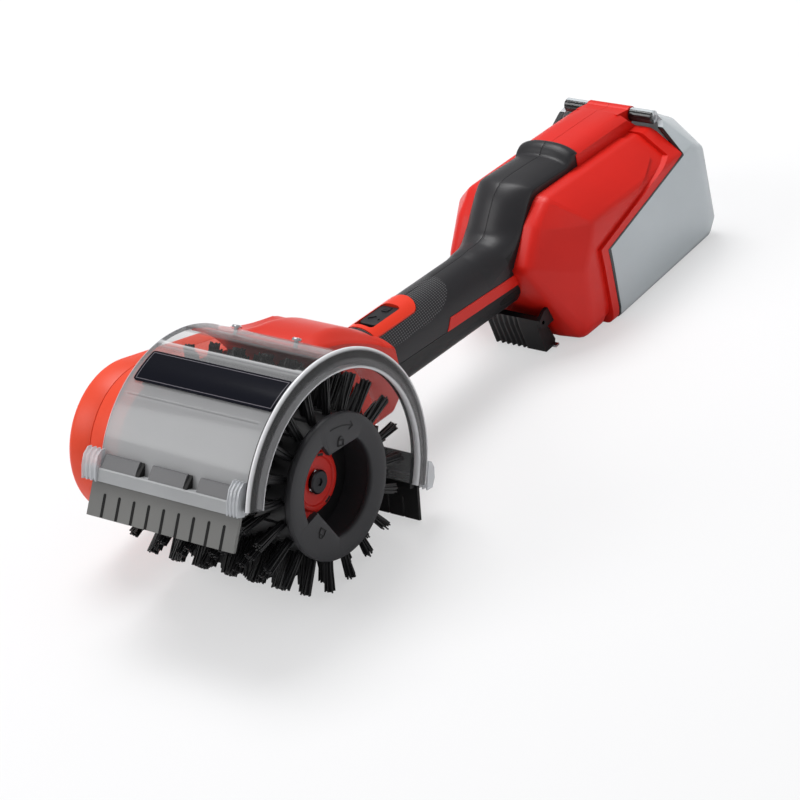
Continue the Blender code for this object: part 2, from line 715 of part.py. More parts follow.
def build_brush(finishes):
    """The roller, its shaft and the knob that holds it on."""
    black = finishes["black"]
    axle = (0.0, 0.0, AXLE_Z)
    right_end = WEB_X + KNOB_THICK - SHAFT_SHORT
    left_end = DRUM_OUTER_X + CASE_WALL + SHAFT_END_GAP
    thread_end = right_end - SHAFT_THREAD_DEEP
    shaft = [(left_end, 0.0), (left_end, SHAFT_R), (right_end, SHAFT_R), (right_end, SHAFT_THREAD_R),
             (thread_end, SHAFT_THREAD_R), (thread_end, 0.0)]
    add_object("drive_shaft", turned_mesh(shaft, 20), finishes["steel"], axle)

    bore = SHAFT_R + GAP
    hub = bore + HUB_WALL
    inside = CORE_R - CORE_WALL
    web = WEB_X - WEB_THICK
    core = [(-BRUSH_HALF, CORE_R), (BRUSH_HALF, CORE_R), (BRUSH_HALF, inside), (WEB_X, inside), (WEB_X, bore),
            (-BRUSH_HALF, bore), (-BRUSH_HALF, hub), (web, hub), (web, inside), (-BRUSH_HALF, inside)]
    add_object("brush_core", turned_mesh(core, 30), black, axle)
    add_object("bristles", bristle_mesh(), black, axle)

    near = BRUSH_HALF + GAP
    face = near + RIM_THICK
    seat = WEB_X + GAP
    sleeve = inside - GAP
    profile = [(near, RIM_R - RIM_ROUND + GAP), (BRUSH_HALF + RIM_ROUND, RIM_R), (face - RIM_ROUND, RIM_R),
               (face, RIM_R - RIM_ROUND), (face - RIM_SET_BACK, RIM_OPENING_R),
               (seat, RIM_OPENING_R + RIM_TAPER),
               (seat, sleeve), (near, sleeve)]
    rim = add_object("end_rim", turned_mesh(profile, 32), black, axle)
    low, high = (face - back for back in RIM_TAB_X)
    for name, corners in RIM_TABS.items():
        outline = [polar(radius, degrees) for radius, degrees in corners]
        join(rim, add_object(name, prism_mesh(outline, low, high), None, axle))

    knob = add_object("lock_knob", disc_mesh(seat, seat + KNOB_THICK, KNOB_R, 24), finishes["red"], axle)
    outline = [polar(radius, turn + lead) for turn in KNOB_WING_TURNS for radius, lead in KNOB_WING]
    low, high = (seat + place for place in KNOB_WING_X)
    join(knob, add_object("knob_wings", prism_mesh(outline, low, high), None, axle))
    cut(knob, add_object("knob_bore", disc_mesh(seat - FAR, seat + FAR, bore, 20), None, axle))
    under = seat + KNOB_THICK + GAP
    top = under + KNOB_SCREW_HIGH
    shank_r, shank_long = KNOB_SCREW_SHANK
    socket_r, socket_deep = KNOB_SCREW_SOCKET
    screw = [(right_end - shank_long, 0.0), (right_end - shank_long, shank_r), (under, shank_r),
             (under, KNOB_SCREW_R[0]), (top, KNOB_SCREW_R[1]), (top, socket_r), (top - socket_deep, 0.0)]
    add_object("shaft_screw", turned_mesh(screw, 16), finishes["dark_steel"], axle)


def guard_drill(name, x, length, origin):
    """A hole for a guard screw, from outside the guard towards the axle."""
    out_y, out_z = polar(1.0, GUARD_SCREW_ANGLE, (0.0, 0.0))
    start = (x, *polar(GUARD_R + SCREW_REACH, GUARD_SCREW_ANGLE))
    return add_object(name, drill_mesh(start, (0.0, -out_y, -out_z), SCREW_R + GAP, length), None, origin)


def build_guard(finishes):
    """The clear guard over the brush, its plate, rails and wipers."""
    axle = (0.0, 0.0, AXLE_Z)
    inner = GUARD_R - GUARD_WALL
    right = GUARD_RIGHT
    profile = [(-BRUSH_HALF, inner), (-BRUSH_HALF, GUARD_R - 0.5), (-BRUSH_HALF + 0.5, GUARD_R),
               (right, GUARD_R), (right + 2.0, GUARD_FLANGE_R - 0.8), (right + 3.0, GUARD_FLANGE_R),
               (right + 4.8, GUARD_FLANGE_R),
               (GUARD_EDGE - 0.6, GUARD_LIP_R + 3.6), (GUARD_EDGE, GUARD_LIP_R + 1.0),
               (GUARD_EDGE - 0.6, GUARD_LIP_R), (right + 1.5, GUARD_LIP_R), (right, inner)]
    guard = add_object("splash_guard", turned_mesh(profile, 36, span=GUARD_ENDS), finishes["clear"], axle)
    near = GUARD_LIP_R - FAR / 2.0
    far = GUARD_FLANGE_R + FAR
    below = GUARD_ENDS[0] - 6.0
    seat = GUARD_SEAT_ANGLE
    corners = ((near, below), (far, below), (far, 0.0), (far, seat), (near, seat), (near, 0.0))
    wedge = [polar(radius, degrees) for radius, degrees in corners]
    opening = add_object("guard_opening", prism_mesh(wedge, -BRUSH_HALF - FAR, GUARD_REAR_CUT_X), None, axle)
    cut(guard, opening)
    for n, x in enumerate(GUARD_SCREW_X, start=1):
        out_y, out_z = polar(1.0, GUARD_SCREW_ANGLE, (0.0, 0.0))
        place = (x, *polar(GUARD_R + GAP, GUARD_SCREW_ANGLE))
        screw = screw_mesh(place, (0.0, -out_y, -out_z), SCREW_HEAD_R, SCREW_R, SCREW_LENGTH)
        add_object(f"guard_screw_{n}", screw, finishes["dark_steel"], place)
        cut(guard, guard_drill(f"guard_hole_{n}", x, 3.0 * SCREW_REACH, axle))
    base = GUARD_R + GAP
    top = base + LABEL_THICK
    plate = [(LABEL_X[0], base), (LABEL_X[0], top), (LABEL_X[1], top), (LABEL_X[1], base)]
    add_object("label_plate", turned_mesh(plate, 6, span=LABEL_SPAN), finishes["label"], axle)

    right = BRUSH_HALF + GAP / 2.0
    front = prism_mesh(rail_outline(-1.0), RAIL_LEFT, right)
    front = add_object("front_flap_rail", front, finishes["clear"], axle)
    thin, thick = (GUARD_R + part for part in CLIP_THICK)
    corners = ((RAIL_SEAT, CLIP_FOOT), (RAIL_OUT - 0.8, CLIP_FOOT), (thick, CLIP_HIGH), (thin, CLIP_HIGH))
    outline = [tilted(-u, w) for u, w in corners]
    for n, centre in enumerate(CLIP_PLACES):
        clip = prism_mesh(outline, centre - CLIP_HALF, centre + CLIP_HALF)
        join(front, add_object(f"rail_clip_{n}", clip, None, axle))
    add_object("front_flap", flap_mesh(-1.0), finishes["grey_rubber"], axle)

    rear = prism_mesh(rail_outline(1.0), -BRUSH_HALF, right)
    rear = add_object("rear_flap_rail", rear, finishes["black"], axle)
    feet = [tilted(GUARD_R + u, w) for u, w in HANGER_FOOT]
    neck = [feet[0], feet[1], *HANGER_TOP, feet[2]]
    join(rear, add_object("rail_hanger", prism_mesh(neck, -BRUSH_HALF + 1.0, HEAD_RIGHT - 1.0), None, axle))
    fence = [tilted(GUARD_R + u, w) for u, w in FENCE]
    join(rear, add_object("rail_fence", prism_mesh(fence, HEAD_RIGHT - 2.0, BRUSH_HALF), None, axle))
    add_object("rear_flap", flap_mesh(1.0), finishes["black_rubber"], axle)


def build_drive(finishes):
    """The drive case with its belt, pulleys and bearings, and the motor."""
    axle = (0.0, 0.0, AXLE_Z)
    wall = CASE_WALL
    case_front = DRUM_SPLIT_X + GAP / 2.0
    case_inside = DRUM_INNER_X - wall
    case = prism_mesh(case_outline(), case_front, DRUM_INNER_X)
    case = add_object("drive_case", case, finishes["red"], axle)
    hollow = prism_mesh(case_outline(wall), case_front - FAR, case_inside)
    hollow = add_object("case_hollow", hollow, None, axle)
    boss_r = BEARING_R + GAP
    boss = ring_mesh(case_inside - BEARING_WIDTH, DRUM_INNER_X - 1.0, boss_r, boss_r + BOSS_WALL, 20)
    boss = add_object("case_boss", boss, None, axle)
    ends = (case_inside - 2.0, DRUM_INNER_X + FAR)
    shaft_hole = add_object("case_bore", disc_mesh(*ends, SHAFT_HOLE_R, 20), None, axle)
    motor_hole = add_object("case_motor_bore", disc_mesh(*ends, MOTOR_HOLE_R, 16, MOTOR_AXIS), None, axle)
    cut(case, hollow)
    join(case, boss)
    cut(case, shaft_hole, motor_hole)

    cover_front = DRUM_SPLIT_X - GAP / 2.0
    cover_inside = DRUM_OUTER_X + wall
    sections = []
    for x, inset in ((cover_front, 0.0), (DRUM_OUTER_X + DRUM_ROUND, 0.0),
                     (DRUM_OUTER_X + DRUM_EASE, DRUM_EASE), (DRUM_OUTER_X, DRUM_ROUND)):
        sections.append([(x, y, z) for y, z in case_outline(inset)])
    cover = add_object("drive_cover", loft_mesh(sections), finishes["red"], axle)
    hollow = prism_mesh(case_outline(wall + 2.0 * GAP), cover_inside, cover_front + FAR)
    boss = ring_mesh(DRUM_OUTER_X + DRUM_EASE, cover_inside + BEARING_WIDTH, boss_r, boss_r + BOSS_WALL, 20)
    cut(cover, add_object("cover_hollow", hollow, None, axle))
    join(cover, add_object("cover_boss", boss, None, axle))

    cap_x = DRUM_OUTER_X - GAP
    cap_end = cap_x - SIDE_CAP_THICK
    edge, ease = SIDE_CAP_EDGE
    cap = [(cap_x, 0.0), (cap_x, SIDE_CAP_R), (cap_x - edge, SIDE_CAP_R), (cap_end, SIDE_CAP_R - ease),
           (cap_end, 0.0)]
    add_object("side_cap", turned_mesh(cap, 32), finishes["charcoal"], axle)

    bore = SHAFT_R + GAP
    inner_x = case_inside - GAP
    inner_end = inner_x - BEARING_WIDTH
    bearing = ring_mesh(inner_end, inner_x, bore, BEARING_R, 20)
    add_object("bearing_inner", bearing, finishes["steel"], axle)
    outer_x = cover_inside + GAP
    outer_end = outer_x + BEARING_WIDTH
    bearing = ring_mesh(outer_x, outer_end, bore, BEARING_R, 20)
    add_object("bearing_outer", bearing, finishes["steel"], axle)

    low = PULLEY_X - PULLEY_WIDTH / 2.0
    high = PULLEY_X + PULLEY_WIDTH / 2.0
    web_low = PULLEY_X - PULLEY_WEB
    web_high = PULLEY_X + PULLEY_WEB
    hub = bore + HUB_WALL
    rim = PULLEY_R - PULLEY_RIM
    pulley = [(outer_end + GAP, bore), (outer_end + GAP, hub), (web_low, hub), (web_low, rim), (low, rim),
              (low, PULLEY_R), (high, PULLEY_R), (high, rim), (web_high, rim), (web_high, hub),
              (inner_end - GAP, hub), (inner_end - GAP, bore)]
    add_object("brush_pulley", turned_mesh(pulley, 28), finishes["black"], axle)

    motor_at = (0.0, *MOTOR_AXIS)
    small_r = PULLEY_R / PULLEY_RATIO
    collar = MOTOR_SHAFT_R + GAP
    tail_r = MOTOR_R - MOTOR_TAIL
    motor_face = DRUM_INNER_X + GAP
    motor_end = motor_face + MOTOR_LENGTH
    tail = motor_end - MOTOR_TAIL
    motor = [(motor_face, collar), (motor_face, MOTOR_R), (tail, MOTOR_R), (tail, tail_r),
             (motor_end, tail_r), (motor_end, collar)]
    add_object("motor_case", turned_mesh(motor, 24, MOTOR_AXIS), finishes["steel"], motor_at)
    rotor = disc_mesh(low - 2.0, motor_end - 1.0, MOTOR_SHAFT_R, 12, MOTOR_AXIS)
    add_object("motor_shaft", rotor, finishes["dark_steel"], motor_at)
    flange = small_r + BELT_THICK + 1.0
    ends = (low - GAP - PULLEY_FLANGE, high + GAP + PULLEY_FLANGE)
    small = [(ends[0], collar), (ends[0], flange), (low - GAP, flange), (low - GAP, small_r),
             (high + GAP, small_r), (high + GAP, flange), (ends[1], flange), (ends[1], collar)]
    add_object("motor_pulley", turned_mesh(small, 20, MOTOR_AXIS), finishes["steel"], motor_at)
    loops = []
    bm = bmesh.new()
    for x, gap in ((low, GAP + BELT_THICK), (high, GAP + BELT_THICK), (high, GAP), (low, GAP)):
        outline = two_circle_outline((0.0, AXLE_Z), PULLEY_R + gap, MOTOR_AXIS, small_r + gap, 28)
        loops.append([bm.verts.new((x, y, z)) for y, z in outline])
    for ring, following in zip(loops, loops[1:] + loops[:1]):
        for i in range(len(ring)):
            j = (i + 1) % len(ring)
            bm.faces.new((ring[i], ring[j], following[j], following[i]))
    add_object("drive_belt", bm, finishes["black_rubber"], axle)


def build_head(finishes):
    """The red housing behind the brush, which carries the motor, the guard and the handle."""
    seat = GUARD_SEAT_ANGLE - 0.4
    shelf = seat + HEAD_SHELF
    inner_r = GUARD_R - GUARD_WALL - GAP
    outline = [polar(HEAD_ARC_R, shelf), polar(inner_r, shelf), polar(inner_r, seat), polar(GUARD_R, seat),
               HEAD_CREST, HEAD_BACK, HEAD_BACK_LOW, HEAD_UNDER]
    outline += [polar(HEAD_ARC_R, angle) for angle in HEAD_ARC]
    left = DRUM_INNER_X + GAP
    middle_y, middle_z = HEAD_MIDDLE
    ease, smaller = HEAD_EASE
    sections = []
    for x, scale in ((left, 1.0), (HEAD_RIGHT - ease, 1.0), (HEAD_RIGHT, smaller)):
        sections.append([(x, middle_y + (y - middle_y) * scale, middle_z + (z - middle_z) * scale)
                         for y, z in outline])
    head = add_object("head_housing", loft_mesh(sections), finishes["red"])
    wall = HEAD_WALL
    inner = [polar(HEAD_ARC_R + wall, angle) for angle in (-10.0, *HEAD_ARC[1:-1], 40.0)]
    shifts = ((HEAD_CREST, -1.0, -0.7), (HEAD_BACK, -1.1, -0.4), (HEAD_BACK_LOW, -1.1, 1.0),
              (HEAD_UNDER, -0.5, 1.2))
    inner += [(y + dy * wall, z + dz * wall) for (y, z), dy, dz in shifts]
    hollow = add_object("head_hollow", prism_mesh(inner, left - FAR, HEAD_CAVITY_RIGHT), None)
    notch = handle_solid_mesh(GAP, HANDLE_FRONT_Y - GAP, HANDLE_FRONT_Y + FAR)
    cut(head, hollow, add_middle_object("head_notch", notch, None))
    for n, x in enumerate(GUARD_SCREW_X, start=1):
        cut(head, guard_drill(f"head_screw_hole_{n}", x, 4.0 * SCREW_REACH, (0.0, 0.0, 0.0)))


def build_handle(finishes):
    """The two grips with the strip that runs on over the box, and the lower shell."""
    clearance = add_middle_object("box_clearance", box_skin_mesh(-GAP), None)
    core = handle_solid_mesh(-HANDLE_WALL, HANDLE_FRONT_Y - 2.0, HANDLE_REAR_Y + 2.0)
    core = add_middle_object("handle_core", core, None)
    pockets = switch_pockets()
    for name, side in (("left", -1.0), ("right", 1.0)):
        sections = [grip_section(side, y, 7) for y in (HANDLE_FRONT_Y, HANDLE_REAR_Y)]
        grip = add_middle_object(f"grip_{name}", loft_mesh(sections), finishes["charcoal"])
        strip = loft_mesh([spine_section(place, side) for place in SPINE_LINE])
        strip = add_middle_object(f"spine_{name}", strip, None)
        cut(strip, core)
        join(grip, strip)
        pocket = add_middle_object(f"inlay_pocket_{name}", inlay_mesh(side, GAP), None)
        cut(grip, clearance, *pockets, pocket)
        inlay = add_middle_object(f"inlay_{name}", inlay_mesh(side, 0.0), finishes["red"])
        cut(inlay, clearance)
    under = [under_section(y, 12) for y in (HANDLE_FRONT_Y, UNDER_REAR_Y)]
    cut(add_middle_object("handle_underside", loft_mesh(under), finishes["black"]), clearance)


def inlay_mesh(side, grow):
    """The red strip let into the grip's side above its seam."""
    front, slant, rear = INLAY_Y
    seams = [handle_levels(y)[2] for y in INLAY_Y]
    outline = [(front - grow, seams[0] + GAP / 2.0 - grow), (rear + grow, seams[2] + GAP / 2.0 - grow),
               (rear + grow, seams[2] + INLAY_HIGH + grow), (slant - grow, seams[1] + INLAY_HIGH + grow)]
    low = HANDLE_HALF - INLAY_THICK - grow
    high = HANDLE_HALF + GAP + grow * 4.0
    return prism_mesh(outline, *((low, high) if side > 0 else (-high, -low)))


def switch_plate_mesh(half, y_low, y_high, z_low, z_high, corner=0.0):
    """A flat block under the handle's top, along its slope, with its corners cut back."""
    middle = (BEZEL_Y[0] + BEZEL_Y[1]) / 2.0
    a, b, c = y_low - middle, y_high - middle, corner
    outline = [(-half, a), (half, a), (half, b), (-half, b)]
    if corner > 0.0:
        outline = [(-half, a + c), (-half + c, a), (half - c, a), (half, a + c), (half, b - c), (half - c, b),
                   (-half + c, b), (-half, b - c)]
    bm = loft_mesh([[(x, y, z) for x, y in outline] for z in (z_low, z_high)])
    place = Matrix.Translation((0.0, middle, handle_levels(middle)[0]))
    bm.transform(place @ Matrix.Rotation(math.atan(HANDLE_SLOPE), 4, "X"))
    return bm


def arch_plate_mesh(half, y_low, y_high, grow_low, grow_high, steps=8):
    """A plate bent over the handle's top, straight in front and rounded at its rear end."""
    sections = []
    for y, share in ((y_low, 1.0), (y_high - BEZEL_NOSE, 1.0), (y_high - 0.45 * BEZEL_NOSE, 0.86),
                     (y_high - 0.12 * BEZEL_NOSE, 0.62), (y_high, 0.42)):
        loops = []
        for grow in (grow_high, grow_low):
            first = degrees_at_width(half * share, grow)
            turns = [first + (180.0 - 2.0 * first) * i / steps for i in range(steps + 1)]
            loops.append([handle_point(turn, y, grow) for turn in turns])
        sections.append(loops[0] + list(reversed(loops[1])))
    return loft_mesh(sections)


def switch_pockets():
    """The seat for the bezel and the opening under it."""
    inner = BEZEL_PROUD - BEZEL_THICK
    ends = (BEZEL_Y[0] - GAP, BEZEL_Y[1] + GAP)
    seat = arch_plate_mesh(BEZEL_HALF + GAP, *ends, inner - GAP, 2.0 * HANDLE_WALL)
    hole = switch_plate_mesh(BEZEL_HALF - BEZEL_LEDGE, BEZEL_Y[0] + BEZEL_LEDGE, BEZEL_Y[1] - BEZEL_NOSE,
                             -4.0 * HANDLE_WALL, HANDLE_WALL)
    return add_middle_object("bezel_seat", seat, None), add_middle_object("switch_hole", hole, None)


def build_switch(finishes):
    """The bezel, the sliding switch in its window, and the parts under it."""
    inner = BEZEL_PROUD - BEZEL_THICK
    bezel = arch_plate_mesh(BEZEL_HALF, *BEZEL_Y, inner, BEZEL_PROUD)
    bezel = add_middle_object("switch_bezel", bezel, finishes["red"])
    window = switch_plate_mesh(SWITCH_HALF + GAP, SWITCH_Y[0] - SWITCH_TRAVEL - GAP, SWITCH_Y[1] + GAP,
                               -4.0 * HANDLE_WALL, HANDLE_WALL)
    cut(bezel, add_middle_object("bezel_window", window, None))
    flange_low = -SWITCH_FLANGE_TOP - 1.0
    flange_half = SWITCH_HALF + SWITCH_FLANGE
    slider = switch_plate_mesh(SWITCH_HALF, *SWITCH_Y, flange_low + 0.2, -SWITCH_SINK, 1.5)
    slider = add_middle_object("power_switch", slider, finishes["black"])
    ends = (SWITCH_Y[0] - 1.0, SWITCH_Y[1] + SWITCH_FLANGE)
    flange = switch_plate_mesh(flange_half, *ends, flange_low, -SWITCH_FLANGE_TOP)
    stem = switch_plate_mesh(STEM_HALF, *STEM_Y, flange_low - STEM_LENGTH, flange_low + 0.5)
    join(slider, add_middle_object("switch_flange", flange, None))
    join(slider, add_middle_object("switch_stem", stem, None))
    module_top = flange_low - GAP
    module = switch_plate_mesh(MODULE_HALF, *MODULE_Y, module_top - MODULE_HIGH, module_top)
    module = add_middle_object("switch_module", module, finishes["charcoal"])
    slot = switch_plate_mesh(STEM_HALF + GAP, STEM_Y[0] - SWITCH_TRAVEL - GAP, STEM_Y[1] + GAP,
                             flange_low - STEM_LENGTH - GAP, HANDLE_WALL)
    cut(module, add_middle_object("module_slot", slot, None))
    tops = [handle_levels(y)[2] - BOARD_DROP for y in BOARD_Y]
    half = width_at(BOARD_Y[1], tops[1] - BOARD_THICK, -HANDLE_WALL) - GAP
    front, rear = BOARD_Y
    outline = [(front, tops[0] - BOARD_THICK), (rear, tops[1] - BOARD_THICK), (rear, tops[1]),
               (front, tops[0])]
    add_middle_object("control_board", prism_mesh(outline, -half, half), finishes["board"])


BAR_LINE = [
    # side outline of the raised red bar, (y, z, whether it is on the crowned top)
    (294.5, 84.2, False), (294.5, 97.9, True), (301.8, 96.6, True), (322.9, 94.5, True), (347.0, 92.2, True),
    (355.2, 80.0, False), (352.0, 78.7, False),
]


def bar_mesh():
    """The raised bar that carries on the strip's line to the hinge."""
    sections = []
    for across in (-1.0, -0.85, -0.5, 0.0, 0.5, 0.85, 1.0):
        drop = BAR_CROWN * abs(across) ** 3.0
        sections.append([(across * BAR_HALF, y, z - drop * crowned) for y, z, crowned in BAR_LINE])
    bm = loft_mesh(sections)
    bmesh.ops.triangulate(bm, faces=bm.faces)
    return bm


def build_box(finishes):
    """The two red shells, the dock inside them, and the clear cover on its hinge."""
    wide = BOX_HALF + FAR
    inner = add_middle_object("shell_hollow", box_skin_mesh(BOX_WALL), None)
    passage = box_mesh((-PASSAGE_HALF, *PASSAGE_LOW), (PASSAGE_HALF, *PASSAGE_HIGH))
    passage = add_middle_object("handle_passage", passage, None)
    ear_bore = disc_mesh(LATCH_X[0] - FAR, LATCH_X[1] + FAR, LATCH_PIN_R + GAP, 12, LATCH_PIVOT)
    ear_bore = add_object("ear_bore", ear_bore, None)
    pin_bore = add_middle_object("pin_bore", disc_mesh(-wide, wide, HINGE_PIN_R + GAP, 12, HINGE), None)
    region = add_middle_object("shell_region", prism_mesh(shell_region(), -wide, wide), None)
    bar = add_middle_object("hinge_bar", bar_mesh(), None)
    knuckle = [*KNUCKLE_ROOT, *[polar(KNUCKLE_R, degrees, HINGE) for degrees in KNUCKLE_ARC], KNUCKLE_TOP]
    knuckle = add_middle_object("hinge_knuckle", prism_mesh(knuckle, -KNUCKLE_HALF, KNUCKLE_HALF), None)
    for name, side in (("left", -1.0), ("right", 1.0)):
        shell = add_middle_object(f"box_shell_{name}", box_skin_mesh(0.0), finishes["red"])
        shape_with(shell, "INTERSECT", region)
        cut(shell, inner, passage)
        join(shell, bar, knuckle, latch_ear(name, side))
        ends = sorted((side * GAP / 2.0, -side * wide))
        other = box_mesh((ends[0], FAR_FRONT_Y, -FAR), (ends[1], COVER_REAR_Y + FAR, HINGE[1] + FAR))
        cut(shell, pin_bore, ear_bore, add_middle_object(f"other_half_{name}", other, None))
    hinge_at = (0.0, *HINGE)
    pin_end = HINGE_HALF - 2.0 * GAP
    pin = disc_mesh(-pin_end, pin_end, HINGE_PIN_R, 12, HINGE)
    add_middle_object("hinge_pin", pin, finishes["steel"], hinge_at)

    cover = box_skin_mesh(0.0, COVER_SHOULDERS)
    cover = add_middle_object("battery_cover", cover, finishes["clear"], hinge_at)
    region = add_middle_object("cover_region", prism_mesh(cover_region(GAP), -wide, wide), None)
    hollow = add_middle_object("cover_hollow", box_skin_mesh(BOX_WALL, COVER_SHOULDERS), None)
    shape_with(cover, "INTERSECT", region)
    cut(cover, hollow)
    for tag, side in (("left", -1.0), ("right", 1.0)):
        ends = sorted((side * (KNUCKLE_HALF + GAP), side * HINGE_HALF))
        barrel = disc_mesh(*ends, HINGE_BARREL_R, 16, HINGE)
        join(cover, add_middle_object(f"cover_barrel_{tag}", barrel, None))
    room_half = KNUCKLE_HALF + GAP
    room = disc_mesh(-room_half, room_half, KNUCKLE_R + GAP, 16, HINGE)
    cut(cover, add_middle_object("knuckle_room", room, None), pin_bore)

    dock_half = BOX_HALF - BOX_WALL - GAP
    dock = box_mesh((-dock_half, DOCK_Y[0], DOCK_Z), (dock_half, DOCK_Y[1], DOCK_Z + DOCK_THICK))
    add_middle_object("battery_dock", dock, finishes["black"])
    low = DOCK_Z - DOCK_RAIL_DEEP - GAP
    high = DOCK_Z - GAP
    for tag, side in (("left", -1.0), ("right", 1.0)):
        xs = sorted((side * DOCK_RAIL_X, side * (DOCK_RAIL_X + DOCK_RAIL_THICK)))
        rail = box_mesh((xs[0], DOCK_Y[0] + DOCK_RAIL_SHORT, low), (xs[1], DOCK_Y[1] - DOCK_RAIL_SHORT, high))
        add_middle_object(f"dock_rail_{tag}", rail, finishes["black"])
        xs = sorted((side * CONTACT_X, side * (CONTACT_X + CONTACT_THICK)))
        contact = box_mesh((xs[0], CONTACT_Y[0], low), (xs[1], CONTACT_Y[1], high))
        add_middle_object(f"contact_{tag}", contact, finishes["brass"])


def latch_ear(name, side):
    """The ear that the latch's pin sits in, grown from the box's front."""
    near = LATCH_X[0] - GAP if side < 0 else LATCH_X[1] + GAP
    xs = sorted((near, near + side * EAR_THICK))
    outline = [(LATCH_PIVOT[0] + dy, LATCH_PIVOT[1] + dz) for dy, dz in EAR_OUTLINE]
    return add_object(f"latch_ear_{name}", prism_mesh(outline, *xs), None)


def build_latch(finishes):
    """The ribbed lever under the front of the box, its pin and its steel hook."""
    pivot = (0.0, *LATCH_PIVOT)
    outline = [(LATCH_PIVOT[0] + dy, LATCH_PIVOT[1] + dz) for dy, dz in LATCH_OUTLINE]
    lever = add_object("latch_lever", prism_mesh(outline, *LATCH_X), finishes["black"], pivot)
    bore = disc_mesh(LATCH_X[0] - FAR, LATCH_X[1] + FAR, LATCH_PIN_R + GAP, 12, LATCH_PIVOT)
    low = [at + away for at, away in zip(pivot, HOOK_LOW)]
    high = [at + away for at, away in zip(pivot, HOOK_HIGH)]
    beyond = [at + more for at, more in zip(high, (*HOOK_ROOM, GAP))]
    room = box_mesh([value - GAP for value in low], beyond)
    cut(lever, add_object("latch_bore", bore, None), add_object("hook_slot", room, None))
    add_object("latch_hook", box_mesh(low, high), finishes["steel"], pivot)
    half = EAR_THICK + GAP
    pin = disc_mesh(LATCH_X[0] - half, LATCH_X[1] + half, LATCH_PIN_R, 12, LATCH_PIVOT)
    add_object("latch_pin", pin, finishes["steel"], pivot)


def build():
    """Make the whole brush."""
    clear_scene()
    stand = add_carrier("stand", (0.0, -REST_Y, 0.0))
    add_carrier("middle_line", (MIDDLE_X, 0.0, 0.0), stand)
    finishes = {
        "red": finish_of("red_plastic", RED, 0.42),
        "black": finish_of("black_plastic", BLACK, 0.45),
        "charcoal": finish_of("charcoal_grip", CHARCOAL, 0.6),
        "clear": finish_of("clear_plastic", CLEAR, 0.08, alpha=0.35),
        "steel": finish_of("bright_steel", STEEL, 0.3, 1.0),
        "dark_steel": finish_of("dark_steel", (0.12, 0.12, 0.13), 0.35, 1.0),
        "grey_rubber": finish_of("grey_rubber", GREY, 0.7),
        "black_rubber": finish_of("black_rubber", (0.02, 0.02, 0.02), 0.7),
        "label": finish_of("label_black", (0.01, 0.01, 0.012), 0.25),
        "board": finish_of("board_green", (0.02, 0.16, 0.07), 0.5),
        "brass": finish_of("contact_brass", (0.7, 0.5, 0.2), 0.3, 1.0),
    }
    build_brush(finishes)
    build_guard(finishes)
    build_drive(finishes)
    build_head(finishes)
    build_handle(finishes)
    build_switch(finishes)
    build_box(finishes)
    build_latch(finishes)


build()
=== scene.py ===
"""Cordless surface brush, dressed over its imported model.

The table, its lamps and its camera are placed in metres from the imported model's zero, under the battery box.
All pieces of the brush are in millimetres from the point on the floor under the roller's axle, with +X along
the axle towards its open end, +Y back along the handle and +Z up. to_world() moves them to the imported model's
place.
"""

import bmesh
import bpy
import numpy as np
from mathutils import Euler, Matrix, Vector


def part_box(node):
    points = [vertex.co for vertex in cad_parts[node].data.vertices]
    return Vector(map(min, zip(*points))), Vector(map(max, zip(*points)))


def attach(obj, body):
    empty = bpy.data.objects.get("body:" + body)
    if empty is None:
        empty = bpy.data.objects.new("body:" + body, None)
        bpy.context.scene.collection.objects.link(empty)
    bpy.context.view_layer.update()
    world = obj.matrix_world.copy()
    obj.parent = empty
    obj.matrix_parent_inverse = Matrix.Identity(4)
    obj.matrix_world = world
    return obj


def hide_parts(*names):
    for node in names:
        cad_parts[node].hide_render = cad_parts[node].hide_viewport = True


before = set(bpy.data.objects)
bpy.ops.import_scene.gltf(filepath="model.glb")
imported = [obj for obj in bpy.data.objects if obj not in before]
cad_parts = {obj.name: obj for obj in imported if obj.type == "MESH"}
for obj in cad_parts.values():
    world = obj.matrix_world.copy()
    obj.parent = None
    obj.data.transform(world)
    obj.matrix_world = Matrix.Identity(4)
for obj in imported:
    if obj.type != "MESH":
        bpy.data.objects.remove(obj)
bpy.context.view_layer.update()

# Photographer's table
# A pale paper floor under soft lamps. The long lens stands high on the front right, as the photograph's
# did, so the roller's open end and the right side of the handle face it.
CAMERA_LENS = 149.44
CAMERA_PLACE = (1.09918, -1.28696, 0.97328)
CAMERA_TILT = 58.686
CAMERA_ROLL = 11.363
CAMERA_HEADING = 36.821
PAPER_COLOUR = (0.80, 0.80, 0.81, 1.0)
PAPER_GLOW = (0.99, 0.99, 0.995, 1.0)
PAPER_GLOW_SHARE = 0.52
ROOM_STRENGTH = 0.42

camera_data = bpy.data.cameras.new("long_lens")
camera_data.lens = CAMERA_LENS
camera = bpy.data.objects.new("long_lens", camera_data)
bpy.context.collection.objects.link(camera)
bpy.context.scene.camera = camera
camera_turn = Euler(np.radians((CAMERA_TILT, CAMERA_ROLL, CAMERA_HEADING)), "XYZ")
camera.matrix_world = Matrix.Translation(CAMERA_PLACE) @ camera_turn.to_matrix().to_4x4()

